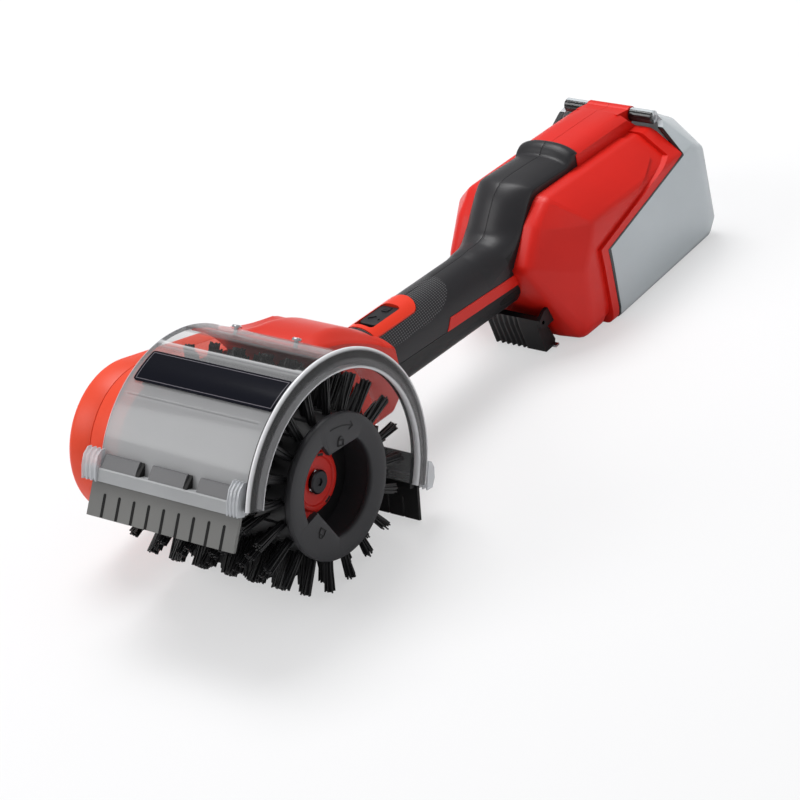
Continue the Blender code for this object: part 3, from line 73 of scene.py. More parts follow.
paper = bpy.data.materials.new("table_paper")
paper.use_nodes = True
paper_nodes = paper.node_tree.nodes
paper_links = paper.node_tree.links
paper_nodes["Principled BSDF"].inputs["Base Color"].default_value = PAPER_COLOUR
paper_nodes["Principled BSDF"].inputs["Roughness"].default_value = 0.9
paper_glow = paper_nodes.new("ShaderNodeEmission")
paper_glow.inputs["Color"].default_value = PAPER_GLOW
paper_mix = paper_nodes.new("ShaderNodeMixShader")
paper_path = paper_nodes.new("ShaderNodeLightPath")
paper_seen = paper_nodes.new("ShaderNodeMath")
paper_seen.operation = "MULTIPLY"
paper_seen.inputs[1].default_value = PAPER_GLOW_SHARE
paper_links.new(paper_path.outputs["Is Camera Ray"], paper_seen.inputs[0])
paper_links.new(paper_seen.outputs[0], paper_mix.inputs[0])
paper_links.new(paper_nodes["Principled BSDF"].outputs[0], paper_mix.inputs[1])
paper_links.new(paper_glow.outputs[0], paper_mix.inputs[2])
paper_links.new(paper_mix.outputs[0], paper_nodes["Material Output"].inputs["Surface"])
floor_mesh = bpy.data.meshes.new("table_floor")
floor_mesh.from_pydata([(x, y, -0.0004) for x, y in ((-6.0, -6.0), (6.0, -6.0), (6.0, 6.0), (-6.0, 6.0))], [],
                       [(0, 1, 2, 3)])
floor_mesh.materials.append(paper)
table_floor = bpy.data.objects.new("table_floor", floor_mesh)
bpy.context.collection.objects.link(table_floor)

studio = bpy.context.scene.world or bpy.data.worlds.new("studio")
bpy.context.scene.world = studio
studio.use_nodes = True
studio_nodes = studio.node_tree.nodes
studio_links = studio.node_tree.links
studio_nodes.clear()
studio_light = studio_nodes.new("ShaderNodeBackground")
studio_light.inputs["Color"].default_value = (1.0, 1.0, 1.0, 1.0)
studio_light.inputs["Strength"].default_value = ROOM_STRENGTH
studio_seen = studio_nodes.new("ShaderNodeBackground")
studio_seen.inputs["Color"].default_value = (1.0, 1.0, 1.0, 1.0)
studio_mix = studio_nodes.new("ShaderNodeMixShader")
studio_path = studio_nodes.new("ShaderNodeLightPath")
studio_any = studio_nodes.new("ShaderNodeMath")
studio_any.operation = "MAXIMUM"
studio_out = studio_nodes.new("ShaderNodeOutputWorld")
studio_links.new(studio_path.outputs["Is Camera Ray"], studio_any.inputs[0])
studio_links.new(studio_path.outputs["Is Transmission Ray"], studio_any.inputs[1])
studio_links.new(studio_any.outputs[0], studio_mix.inputs[0])
studio_links.new(studio_light.outputs[0], studio_mix.inputs[1])
studio_links.new(studio_seen.outputs[0], studio_mix.inputs[2])
studio_links.new(studio_mix.outputs[0], studio_out.inputs[0])
bpy.context.scene.view_settings.view_transform = "Standard"


def hang_lamp(name, place, aim, size, power):
    """A square soft lamp at a place, turned towards a point, both in metres."""
    lamp_data = bpy.data.lights.new(name, "AREA")
    lamp_data.size = size
    lamp_data.energy = power
    lamp = bpy.data.objects.new(name, lamp_data)
    bpy.context.collection.objects.link(lamp)
    heading = (Vector(aim) - Vector(place)).to_track_quat("-Z", "Y")
    lamp.matrix_world = Matrix.Translation(place) @ heading.to_matrix().to_4x4()


hang_lamp("lamp_front_left", (-1.1, -1.3, 1.3), (0.0, -0.15, 0.05), 0.9, 12.0)
hang_lamp("lamp_back_left", (-0.50, 0.30, 1.75), (0.0, -0.05, 0.0), 0.95, 27.0)
hang_lamp("lamp_right", (1.5, -0.1, 0.8), (0.0, 0.0, 0.05), 0.7, 2.0)

# Inner works
# Shaft, bearings, pulleys, belt, motor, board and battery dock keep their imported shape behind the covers.
# They are turned steel, moulded plastic and rubber, each with a colour that drifts slightly and a fine
# grain.


def moulded(name, colour, roughness, grain=0.0, grain_size=1800.0, drift=0.06, metallic=0.0, alpha=1.0):
    """A moulded or metal finish: a slow drift of colour and a bumpy grain, both from noise on the object."""
    finish = bpy.data.materials.new(name)
    finish.use_nodes = True
    nodes = finish.node_tree.nodes
    links = finish.node_tree.links
    shader = nodes["Principled BSDF"]
    shader.inputs["Roughness"].default_value = roughness
    shader.inputs["Metallic"].default_value = metallic
    shader.inputs["Alpha"].default_value = alpha
    shader.inputs["Specular IOR Level"].default_value = 0.5 if alpha < 1.0 else 0.3
    place = nodes.new("ShaderNodeTexCoord")
    cloud = nodes.new("ShaderNodeTexNoise")
    cloud.inputs["Scale"].default_value = 22.0
    cloud.inputs["Detail"].default_value = 4.0
    shades = nodes.new("ShaderNodeValToRGB")
    shades.color_ramp.elements[0].position = 0.3
    shades.color_ramp.elements[1].position = 0.7
    shades.color_ramp.elements[0].color = (*[c * (1.0 - drift) for c in colour], 1.0)
    shades.color_ramp.elements[1].color = (*[min(1.0, c * (1.0 + drift)) for c in colour], 1.0)
    links.new(place.outputs["Object"], cloud.inputs["Vector"])
    links.new(cloud.outputs["Fac"], shades.inputs["Fac"])
    links.new(shades.outputs["Color"], shader.inputs["Base Color"])
    if grain > 0.0:
        speckle = nodes.new("ShaderNodeTexNoise")
        speckle.inputs["Scale"].default_value = grain_size
        speckle.inputs["Detail"].default_value = 2.0
        bump = nodes.new("ShaderNodeBump")
        bump.inputs["Strength"].default_value = grain
        bump.inputs["Distance"].default_value = 0.0002
        links.new(place.outputs["Object"], speckle.inputs["Vector"])
        links.new(speckle.outputs["Fac"], bump.inputs["Height"])
        links.new(bump.outputs["Normal"], shader.inputs["Normal"])
    return finish


def recoat(finish, *nodes):
    """Give CAD nodes a finish."""
    for node in nodes:
        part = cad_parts[node]
        part.data.materials.clear()
        part.data.materials.append(finish)


bright_steel = moulded("bright_steel", (0.60, 0.60, 0.62), 0.25, 0.05, 900.0, 0.05, 1.0)
dark_steel = moulded("dark_steel", (0.035, 0.035, 0.038), 0.35, 0.05, 900.0, 0.08, 1.0)
black_plastic = moulded("black_plastic", (0.010, 0.010, 0.011), 0.42, 0.2, 1500.0, 0.10)
black_rubber = moulded("black_rubber", (0.012, 0.012, 0.013), 0.6, 0.3, 900.0, 0.10)
board_coat = moulded("board_coat", (0.02, 0.16, 0.07), 0.45, 0.1, 700.0, 0.10)
contact_brass = moulded("contact_brass", (0.72, 0.52, 0.22), 0.28, 0.05, 900.0, 0.05, 1.0)
recoat(bright_steel, "drive_shaft", "bearing_inner", "bearing_outer", "motor_case", "motor_pulley")
recoat(dark_steel, "motor_shaft")
recoat(black_plastic, "brush_pulley", "switch_module", "battery_dock", "dock_rail_left", "dock_rail_right")
recoat(black_rubber, "drive_belt")
recoat(board_coat, "control_board")
recoat(contact_brass, "contact_left", "contact_right")

# Roller
# A moulded core in a sleeve of staves carries rows of nylon tufts, each a bundle of straight strands that
# is set in a hole and splays at its tip.
shaft_low, shaft_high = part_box("drive_shaft")
AXLE_AHEAD = round(-500.0 * (shaft_low[1] + shaft_high[1]), 1)
AXLE_HEIGHT = round(500.0 * (shaft_low[2] + shaft_high[2]), 1)
ROLLER_HALF = 50.0
CORE_INSIDE = 36.3
SLEEVE_RADIUS = 38.4
SLEEVE_STEPS = 240
STAVES = 20
STAVE_GROOVE = 0.9
TUFT_REACH = 60.0
TUFT_FOOT = SLEEVE_RADIUS - 1.0
TUFT_MARGIN = 3.4
TUFT_ROWS = 11
TUFTS_ROUND = 20
TUFT_STRANDS = 17
TUFT_RADIUS = 2.05
TUFT_SPLAY = 0.42
SUNFLOWER_TURN = 2.39996
STRAND_HALF = 0.36
STRAND_WAVE = 0.16


def to_world(points):
    """Millimetres from the floor under the axle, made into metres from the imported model's zero."""
    return (np.asarray(points, dtype=float).reshape(-1, 3) + (0.0, -AXLE_AHEAD, 0.0)) * 0.001


def shape_from(name, points, faces):
    """A closed shape of points and faces that isn't fastened to anything yet."""
    mesh = bpy.data.meshes.new(name)
    mesh.from_pydata(to_world(points).tolist(), [], faces)
    skin = bmesh.new()
    skin.from_mesh(mesh)
    bmesh.ops.remove_doubles(skin, verts=skin.verts, dist=1e-7)
    bmesh.ops.recalc_face_normals(skin, faces=skin.faces)
    skin.to_mesh(mesh)
    skin.free()
    shape = bpy.data.objects.new(name, mesh)
    bpy.context.collection.objects.link(shape)
    return shape


def fasten(shape, finish, body, slot, *nodes, sharp=32.0):
    """Smooth a shape but for edges sharper than an angle, and give it its finish and the body it rides on."""
    shape.data.materials.clear()
    shape.data.materials.append(finish)
    shape.data.shade_smooth()
    shape.data.set_sharp_from_angle(angle=np.radians(sharp))
    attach(shape, body)
    if nodes:
        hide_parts(*nodes)


def make_piece(name, points, faces, finish, body, slot, *nodes, sharp=32.0):
    """A piece straight from its points and faces, with nothing carved from it."""
    fasten(shape_from(name, points, faces), finish, body, slot, *nodes, sharp=sharp)


def weave(rows, columns, rows_round=False, columns_round=True, caps=True):
    """Four-cornered faces between neighbours of a grid of points, with its two end rows closed."""
    i, j = np.meshgrid(np.arange(rows if rows_round else rows - 1),
                       np.arange(columns if columns_round else columns - 1), indexing="ij")
    k, m = (i + 1) % rows, (j + 1) % columns
    quads = np.stack([i * columns + j, k * columns + j, k * columns + m, i * columns + m], axis=-1)
    faces = quads.reshape(-1, 4).tolist()
    if caps and not rows_round:
        faces += [list(range(columns)), list(range((rows - 1) * columns, rows * columns))]
    return faces


def gather(grids):
    """Several closed grids as one list of points and faces, each grid's faces moved on past the last."""
    faces = []
    count = 0
    for grid in grids:
        faces += [[v + count for v in face] for face in weave(*grid.shape[:2])]
        count += grid.shape[0] * grid.shape[1]
    return np.concatenate([grid.reshape(-1, 3) for grid in grids]), faces


def turned(x, radius, degrees, centre=(0.0, AXLE_HEIGHT)):
    """A profile (x, radius) carried round a line along X: y = cy + r cos a and z = cz + r sin a."""
    angle = np.radians(np.asarray(degrees, dtype=float))[:, None]
    x, radius, angle = np.broadcast_arrays(np.atleast_2d(x), np.atleast_2d(radius), angle)
    return np.stack([x, centre[0] + radius * np.cos(angle), centre[1] + radius * np.sin(angle)], axis=-1)


def sleeve_points():
    """The sleeve's profile round the axle, grooved where the rising and falling wave of staves peaks."""
    whole_turn = np.arange(SLEEVE_STEPS) * 360.0 / SLEEVE_STEPS
    wave = np.abs((whole_turn * STAVES / 360.0) % 1.0 - 0.5) * 2.0
    groove = STAVE_GROOVE * np.clip((wave - 0.86) / 0.08, 0.0, 1.0)[:, None]
    end, ease = ROLLER_HALF, 0.4
    x = np.array([-end, -end, ease - end, end - ease, end, end])
    outside = SLEEVE_RADIUS - ease
    radius = np.array([CORE_INSIDE, outside, SLEEVE_RADIUS, SLEEVE_RADIUS, outside, CORE_INSIDE])
    return turned(x, radius - np.array([0.0, 1.0, 1.0, 1.0, 1.0, 0.0]) * groove, whole_turn)


def tuft_points():
    """Strands of a tuft lie in a sunflower disc square to the tuft's ray, and the disc widens outwards."""
    counts = np.arange(TUFT_ROWS), np.arange(TUFTS_ROUND), np.arange(TUFT_STRANDS)
    row, spot, strand = (index.ravel() for index in np.meshgrid(*counts, indexing="ij"))
    tuft = row * TUFTS_ROUND + spot
    step = 360.0 / TUFTS_ROUND
    pitch = 2.0 * (ROLLER_HALF - TUFT_MARGIN) / (TUFT_ROWS - 1)
    ray = np.radians(-90.0 + step * spot + step * 0.5 * (row % 2) + 1.2 * np.sin(5.0 * tuft) * (row % 2))
    x_mid = -ROLLER_HALF + TUFT_MARGIN + pitch * row + 0.3 * np.sin(7.0 * tuft)
    swirl = (SUNFLOWER_TURN * strand + 0.9 * tuft)[:, None]
    disc = TUFT_RADIUS * np.sqrt((strand + 0.5) / TUFT_STRANDS)[:, None]
    levels = np.array([0.0, 0.45, 1.0])
    splay = 1.0 + TUFT_SPLAY * levels[None, :] ** 1.5
    lean_x = (0.9 * np.sin(3.3 * tuft + 0.8))[:, None] * levels ** 2
    lean_t = (1.1 * np.sin(2.1 * tuft + 2.0))[:, None] * levels ** 2 * (spot != 0)[:, None]
    wave_x = STRAND_WAVE * np.sin(9.0 * levels + strand[:, None])
    wave_t = STRAND_WAVE * np.cos(8.0 * levels + 2.0 * strand[:, None])
    across = disc * np.cos(swirl) * splay + lean_x + wave_x
    around = disc * np.sin(swirl) * splay + lean_t + wave_t
    short = 0.9 * np.abs(np.sin(12.9 * strand + 4.1 * tuft))[:, None]
    tip = np.sqrt(TUFT_REACH ** 2 - (np.abs(around) + STRAND_HALF) ** 2) - short - 0.03
    radius = TUFT_FOOT + (tip - TUFT_FOOT) * levels
    corner_x = np.array([-1.0, 1.0, 1.0, -1.0]) * STRAND_HALF
    corner_t = np.array([-1.0, -1.0, 1.0, 1.0]) * STRAND_HALF
    x = (x_mid[:, None] + across)[..., None] + corner_x
    t = around[..., None] + corner_t
    r = np.repeat(radius[..., None], 4, axis=-1)
    c, s = np.cos(ray)[:, None, None], np.sin(ray)[:, None, None]
    return np.stack([x, r * c - t * s, AXLE_HEIGHT + r * s + t * c], axis=-1)


nylon = moulded("nylon", (0.012, 0.012, 0.013), 0.38, drift=0.10)
staves = sleeve_points()
strands = tuft_points()
strand_shape = np.array(weave(3, 4, caps=False) + [[0, 1, 2, 3], [8, 9, 10, 11]])
strand_starts = staves.size // 3 + 12 * np.arange(strands.shape[0])
strand_faces = (strand_shape[None] + strand_starts[:, None, None]).reshape(-1, 4)
roller_points = np.concatenate([staves.reshape(-1, 3), strands.reshape(-1, 3)])
roller_faces = weave(*staves.shape[:2], rows_round=True) + strand_faces.tolist()
make_piece("roller_tufts", roller_points, roller_faces, nylon, "brush", "bristle_nylon", "bristles")
recoat(black_plastic, "brush_core")

# End ring
# A satin black ring is pressed into the roller's open end. Two pointed stops reach in from its mouth and
# keep the release knob in.
RIM_STEPS = 320
RIM_MOUTH = 27.5
RIM_THROAT = 28.7
STOP_UPPER = [(32.0, 100.0), (19.8, 92.0), (24.5, 45.0), (32.0, 30.0)]
STOP_LOWER = [(32.0, 208.0), (19.4, 191.0), (27.5, 252.0), (32.0, 262.0)]


def ray_limit(corners, degrees):
    """How far a ray from the axle runs to a chain of straight edges between (radius, degrees) corners."""
    limit = np.full(len(degrees), np.nan)
    ray = np.radians(degrees)
    for (r_a, a), (r_b, b) in zip(corners, corners[1:]):
        ya, za = r_a * np.cos(np.radians(a)), r_a * np.sin(np.radians(a))
        dy, dz = r_b * np.cos(np.radians(b)) - ya, r_b * np.sin(np.radians(b)) - za
        reach = (ya * dz - za * dy) / (np.cos(ray) * dz - np.sin(ray) * dy)
        low, high = min(a, b), max(a, b)
        turn = (degrees - low) % 360.0
        limit = np.where(turn <= high - low, reach, limit)
    return limit


rim_turn = np.arange(RIM_STEPS) * 360.0 / RIM_STEPS
mouth = np.fmin(RIM_MOUTH, np.fmin(ray_limit(STOP_UPPER, rim_turn), ray_limit(STOP_LOWER, rim_turn)))[:, None]
rim_x, rim_out, rim_lip = np.array([
    # x, the radius or 0 at the mouth, and how far a mouth point lies outside its narrowest line
    (50.3, 38.6, 0.0), (50.9, 39.6, 0.0), (52.0, 40.0, 0.0), (53.8, 40.0, 0.0), (54.7, 39.5, 0.0),
    (55.0, 38.4, 0.0), (54.9, 36.0, 0.0), (54.6, 0.0, 1.3), (54.3, 0.0, 0.5), (53.7, 0.0, 0.0),
    (51.8, 0.0, 0.0), (51.2, 0.0, 0.6), (50.7, RIM_THROAT, 0.0), (34.3, 30.1, 0.0), (34.3, 32.7, 0.0),
    (50.3, 32.7, 0.0)]).T
rim_r = np.where(rim_out > 0.0, rim_out, mouth + rim_lip)
rim_r[:, 11] = np.minimum(rim_r[:, 11], RIM_THROAT)
satin_rim = moulded("satin_rim", (0.026, 0.026, 0.029), 0.42, 0.25, 1500.0)
make_piece("roller_rim", turned(rim_x, rim_r, rim_turn), weave(*rim_r.shape, rows_round=True), satin_rim,
           "brush", "black_plastic", "end_rim", sharp=40.0)

# Marks on the end ring
# Plain signs moulded on the two stops: an arrow for the turning sense, and an open and a shut lock. They
# are thin dark inlays that stand a few hundredths of a millimetre above the ring's face.
MARK_WIDTH = 0.55
LOCK_RADIUS = 1.7


def polar_path(radius, degrees):
    """Points at radii and angles about the axle, as (y, z)."""
    angle = np.radians(np.asarray(degrees, dtype=float))
    return np.stack([radius * np.cos(angle), AXLE_HEIGHT + radius * np.sin(angle)], axis=-1)


def ribbon(path, width, x_low, x_high):
    """A raised line on a face square to the axle: a path of (y, z) points, given a width and a height."""
    run = np.gradient(path, axis=0)
    run /= np.linalg.norm(run, axis=1, keepdims=True)
    side = np.stack([-run[:, 1], run[:, 0]], axis=1) * width / 2.0
    corners = (x_low, path + side), (x_high, path + side), (x_high, path - side), (x_low, path - side)
    return np.stack([np.column_stack([np.full(len(path), x), edge]) for x, edge in corners], axis=1)


def lock_sign(radius, degrees, gap):
    """The lines of a lock: a half-round shackle, shortened by a gap where it is open, and a square body."""
    heading = np.radians(degrees)
    hub = polar_path(radius, [degrees])[0]
    shackle = np.radians(degrees + np.linspace(-90.0 + gap, 90.0, 10))
    body = np.array([(-0.2, -2.2), (-3.4, -2.2), (-3.4, 2.2), (-0.2, 2.2), (-0.2, -2.2)])
    spin = np.array([(np.cos(heading), -np.sin(heading)), (np.sin(heading), np.cos(heading))])
    return [hub + LOCK_RADIUS * np.stack([np.cos(shackle), np.sin(shackle)], axis=-1), hub + body @ spin.T]


mark_paths = [polar_path(33.0, np.linspace(52.0, 84.0, 12)),
              polar_path(np.linspace(33.0, 30.8, 3), np.linspace(52.0, 56.5, 3)),
              polar_path(np.linspace(33.0, 35.2, 3), np.linspace(52.0, 56.0, 3)),
              *lock_sign(25.6, 68.0, 60.0), *lock_sign(27.0, 218.0, 0.0)]
deep_black = moulded("deep_black", (0.006, 0.006, 0.006), 0.55)
make_piece("rim_marks", *gather([ribbon(path, MARK_WIDTH, 54.2, 55.03) for path in mark_paths]), deep_black,
           "brush", "black_plastic")

# Release knob
# A red quarter-turn knob on the shaft's end, with two wings for the fingers and a raised ring with three
# slots round its hub. It turns with the roller and by itself through the width of the ring's stops.
KNOB_RADIUS = 18.0
KNOB_STEPS = 256
KNOB_WINGS = (38.0, 218.0)
SLOT_MIDDLES = (62.0, 172.0, 287.0)

knob_turn = np.arange(KNOB_STEPS) * 360.0 / KNOB_STEPS
wing_edges = [ray_limit([(7.15, wing - 78.0), (23.0, wing - 12.0), (23.0, wing + 12.0), (9.75, wing + 70.0)],
                        knob_turn) for wing in KNOB_WINGS]
knob_edge = np.fmax(KNOB_RADIUS, np.fmax(*wing_edges))
knob_edge = sum(np.roll(knob_edge, shift) for shift in range(-3, 4)) / 7.0
knob_x = np.array([34.3, 34.3, 34.8, 37.2, 37.9, 38.1, 38.1, 38.9, 39.7, 40.0, 40.0, 39.7, 39.0, 39.0])
knob_ring = np.array([6.4, 0.0, 0.0, 0.0, 0.0, 0.0, 16.8, 16.3, 15.9, 15.4, 13.6, 13.2, 12.8, 6.4])
knob_inset = np.array([0.0, 0.7, 0.0, 0.0, 0.4, 1.3, 0.0, 0.0, 0.0, 0.0, 0.0, 0.0, 0.0, 0.0])
knob_edge = knob_edge[:, None]
knob_r = np.where(knob_ring > 0.0, np.minimum(knob_ring, knob_edge - 0.6), knob_edge - knob_inset)
knob_red = moulded("knob_red", (0.52, 0.016, 0.010), 0.38, 0.2, 1500.0, 0.05)
make_piece("release_knob", turned(knob_x, knob_r, knob_turn), weave(*knob_r.shape, rows_round=True), knob_red,
           "lock_knob_body", "red_plastic", "lock_knob", sharp=35.0)
# Painted shade: the slots are not cut; near-black strips laid on the raised ring stand for the shade inside
# them.
slot_paths = [polar_path(14.5, middle + np.linspace(-9.0, 9.0, 6)) for middle in SLOT_MIDDLES]
make_piece("knob_slots", *gather([ribbon(path, 1.5, 38.5, 40.04) for path in slot_paths]), deep_black,
           "lock_knob_body", "black_plastic")

# Knob screw
# A black steel screw with a low domed head and a hexagonal socket holds the knob on the shaft.
# It is turned, and the socket is pressed in.
HEX_HALF = 2.1

screw_turn = np.arange(72) * 5.0
hexagon = (HEX_HALF / np.cos(np.radians((screw_turn + 30.0) % 60.0 - 30.0)))[:, None]
screw_x = np.array([27.0, 27.0, 40.3, 40.3, 41.2, 41.9, 41.9, 41.7, 40.9, 40.9])
screw_r = np.array([0.0, 2.0, 2.0, 6.6, 6.6, 5.8, 1.0, 0.0, 0.0, 0.0])
screw_hex = np.array([0.0, 0.0, 0.0, 0.0, 0.0, 0.0, 1.0, 0.93, 0.93, 0.0])
screw_r = screw_r + screw_hex * hexagon
make_piece("knob_screw", turned(screw_x, screw_r, screw_turn), weave(72, 10, True, False), dark_steel,
           "brush", "dark_steel", "shaft_screw")

# Splash guard
# One clear moulding over the roller: a hood with a groove below its plate and a sunk window above it.
# Behind the roller the hood is cut away, but for a tail beside the ring at its open end. Two steel screws
# hold it.
GUARD_RADIUS = 69.5
HOOD_REAR_DEGREES = 49.5
HOOD_FRONT_DEGREES = 157.5
RING_REAR_DEGREES = -31.7
TAIL_TOP_DEGREES = 8.0
TAIL_LEFT = 28.0
GROOVE_DEGREES = 121.0
GROOVE_DEPTH = 0.55
WINDOW_X = (-42.0, 43.0)
WINDOW_DEGREES = (72.0, 89.0)
WINDOW_DEPTH = 0.8


def smooth_step(value, low, high):
    """Rises from 0 at low to 1 at high as 3 t^2 - 2 t^3."""
    t = np.clip((value - low) / (high - low), 0.0, 1.0)
    return t * t * (3.0 - 2.0 * t)


def between(value, low, high, ease):
    """Rises to 1 across low and falls back to 0 across high, in smooth steps that reach an ease each way."""
    return smooth_step(value, low - ease, low + ease) * smooth_step(-value, -high - ease, -high + ease)


def guard_relief(x, degrees):
    """How far the hood's outer face stands above its plain radius: a thin groove and a sunk window."""
    window = between(x, *WINDOW_X, 0.6) * between(degrees, *WINDOW_DEGREES, 0.5)
    groove = np.exp(-((degrees - GROOVE_DEGREES) / 0.45) ** 2) * smooth_step(47.0 - np.abs(x), 0.0, 1.5)
    return -WINDOW_DEPTH * window - GROOVE_DEPTH * groove


def drawn(outline, places):
    """One (y, z) outline repeated at places along X, as a grid of points."""
    outline = np.asarray(outline, dtype=float)
    return np.stack([np.column_stack([np.full(len(outline), x), outline]) for x in places])


def drawn_out(name, outline, x_low, x_high):
    """A (y, z) outline drawn out along X into a closed shape."""
    return shape_from(name, drawn(outline, (x_low, x_high)), weave(2, len(outline)))


def carve(shape, operation, *tools):
    """Boolean other shapes into a shape, one after another, and drop them."""
    for tool in tools:
        cut = shape.modifiers.new("carve", "BOOLEAN")
        cut.operation = operation
        cut.solver = "EXACT"
        cut.object = tool
    graph = bpy.context.evaluated_depsgraph_get()
    result = bpy.data.meshes.new_from_object(shape.evaluated_get(graph))
    shape.modifiers.clear()
    shape.data = result
    for tool in tools:
        bpy.data.objects.remove(tool, do_unlink=True)


def sums_in(finish):
    """A function that adds one maths node to a finish, for an operation on sockets or numbers."""
    nodes = finish.node_tree.nodes
    links = finish.node_tree.links

    def step(operation, *values):
        """The output of an operation on sockets or numbers."""
        maths = nodes.new("ShaderNodeMath")
        maths.operation = operation
        for socket, value in zip(maths.inputs, values):
            if isinstance(value, float):
                socket.default_value = value
            else:
                links.new(value, socket)
        return maths.outputs[0]

    return step


def place_in(finish):
    """The sockets X, Y and Z of the object's own coordinates, in metres."""
    nodes = finish.node_tree.nodes
    split = nodes.new("ShaderNodeSeparateXYZ")
    finish.node_tree.links.new(nodes["Texture Coordinate"].outputs["Object"], split.inputs[0])
    return split.outputs


def shade_along(finish, share, zones, whole, grey_tint, alpha_tint):
    """Base colour and alpha by a share: two ramps through zones (place, grey, alpha), whole being the end."""
    nodes = finish.node_tree.nodes
    links = finish.node_tree.links
    for column, target, tint in ((1, "Base Color", grey_tint), (2, "Alpha", alpha_tint)):
        ramp = nodes.new("ShaderNodeValToRGB")
        marks = ramp.color_ramp.elements
        while len(marks) < len(zones):
            marks.new(0.5)
        for mark, zone in zip(marks, zones):
            mark.position = zone[0] / whole
            mark.color = (*[zone[column] * t for t in tint], 1.0)
        links.new(share, ramp.inputs["Fac"])
        links.new(ramp.outputs["Color"], nodes["Principled BSDF"].inputs[target])


def from_axle(finish, step):
    """How far back and how far up a point lies from the roller's axle, in metres, as two sockets."""
    place = place_in(finish)
    return step("ADD", place["Y"], AXLE_AHEAD * 0.001), step("SUBTRACT", place["Z"], AXLE_HEIGHT * 0.001)


def clear_by_turn(name, zones, roughness):
    """Clear plastic whose grey and alpha follow the turn about the axle, atan2(up, back), in zones (degrees,
    grey, alpha), painted with reflection and highlight bands.
    """
    finish = moulded(name, (0.5, 0.5, 0.5), roughness, drift=0.03)
    step = sums_in(finish)
    back, up = from_axle(finish, step)
    share = step("DIVIDE", step("ARCTAN2", up, back), np.pi)
    shade_along(finish, share, zones, 180.0, (1.0, 1.01, 1.03), (1.0, 1.0, 1.0))
    return finish


# Painted reflection and highlight: the hood's front is lighter and milkier where it would mirror the front
# lamp, and a bright line at 89.5 degrees is a painted highlight. The window band from 73 to 88 degrees is dark
# and nearly clear, so the bristles show through.
hood_clear_painted_light = clear_by_turn("hood_clear_painted_light", [
    (0.0, 0.50, 0.20), (49.0, 0.50, 0.30), (60.0, 0.30, 0.42), (70.5, 0.34, 0.55), (73.0, 0.06, 0.14),
    (88.0, 0.05, 0.20), (89.5, 0.70, 0.72), (92.0, 0.25, 0.45), (117.0, 0.36, 0.64), (140.0, 0.44, 0.74),
    (160.0, 0.46, 0.76)], 0.10)
hood_clear_painted_light.node_tree.nodes["Principled BSDF"].inputs["Specular IOR Level"].default_value = 0.25
hood_x = np.concatenate([[-50.0, -50.0, -49.5], np.linspace(-48.0, 50.0, 99),
                         [50.6, 51.2, 51.2, 50.6, -50.0]])
hood_lift = np.concatenate([[-3.0, -0.5, 0.0], np.zeros(99), [0.1, 0.5, -3.0, -3.0, -3.0]])
hood_turn = np.linspace(RING_REAR_DEGREES, HOOD_FRONT_DEGREES, 380)
hood_r = GUARD_RADIUS + hood_lift + (hood_lift == 0.0) * guard_relief(hood_x[None, :], hood_turn[:, None])
hood = shape_from("guard_hood", turned(hood_x, hood_r, hood_turn), weave(*hood_r.shape))
opening_reach, opening_turn = np.array([
    (50.0, RING_REAR_DEGREES - 6.0), (110.0, RING_REAR_DEGREES - 6.0), (110.0, TAIL_TOP_DEGREES),
    (110.0, HOOD_REAR_DEGREES), (50.0, HOOD_REAR_DEGREES), (50.0, TAIL_TOP_DEGREES)]).T
hood_opening = drawn_out("hood_opening", polar_path(opening_reach, opening_turn), -60.0, TAIL_LEFT)
carve(hood, "DIFFERENCE", hood_opening)
fasten(hood, hood_clear_painted_light, "root", "clear_plastic", "splash_guard")
recoat(bright_steel, "guard_screw_1", "guard_screw_2")

# Guard ring
# The hood's open end is a thick rolled ring of the same clear plastic, which runs on down behind the
# roller. A near-black band of painted shade joins it to the hood, the ring's edge has painted highlights at its
# inner and outer rims with painted shade between them, and a fine bright edge closes the hood's left end.


def clear_by_reach(name, zones, roughness):
    """Clear plastic whose grey and alpha follow its distance from the axle, (back^2 + up^2)^0.5, by zones (mm,
    grey, alpha), painted as highlight and shade bands.
    """
    finish = moulded(name, (0.5, 0.5, 0.5), roughness, drift=0.03)
    step = sums_in(finish)
    back, up = from_axle(finish, step)
    reach = step("SQRT", step("ADD", step("MULTIPLY", back, back), step("MULTIPLY", up, up)))
    shade_along(finish, step("MULTIPLY", reach, 10.0), zones, 100.0, (1.0, 1.0, 1.03), (1.0, 1.0, 1.03))
    return finish


# Painted shade: the clear band between ring and hood is a near-black sheet standing for its dark look.
ring_band_painted_shade = moulded("ring_band_painted_shade", (0.010, 0.011, 0.014), 0.10, drift=0.05, alpha=0.80)
ring_clear = moulded("ring_clear", (0.62, 0.64, 0.67), 0.10, drift=0.05, alpha=0.62)
# Painted highlights and shade: bright bands at the edge's inner and outer rims, near-black between them.
ring_edge_painted_light = clear_by_reach("ring_edge_painted_light", [
    (63.3, 0.85, 0.90), (64.3, 0.70, 0.80), (65.1, 0.16, 0.45), (67.8, 0.22, 0.45), (69.0, 0.03, 0.70),
    (72.4, 0.03, 0.70), (73.5, 0.75, 0.85), (74.4, 0.85, 0.90)], 0.16)
ring_turn = np.linspace(RING_REAR_DEGREES, HOOD_FRONT_DEGREES, 300)
smoke_x = [51.3, 51.6, 52.6, 53.4, 53.6, 53.0, 52.0, 51.3]
smoke_r = [69.6, 70.6, 73.2, 73.9, 70.0, 64.6, 64.0, 66.6]
make_piece("guard_ring_band", turned(smoke_x, smoke_r, ring_turn), weave(300, 8), ring_band_painted_shade, "root",
           "clear_plastic")
edge_x = [53.7, 53.7, 54.2, 55.0, 55.6, 55.9, 56.2, 56.6, 57.3, 57.9, 58.0, 57.5, 56.6, 55.0, 53.7]
edge_r = [68.0, 73.8, 74.35, 74.4, 74.1, 73.0, 70.4, 68.3, 66.9, 65.2, 64.2, 63.5, 63.4, 63.6, 64.4]
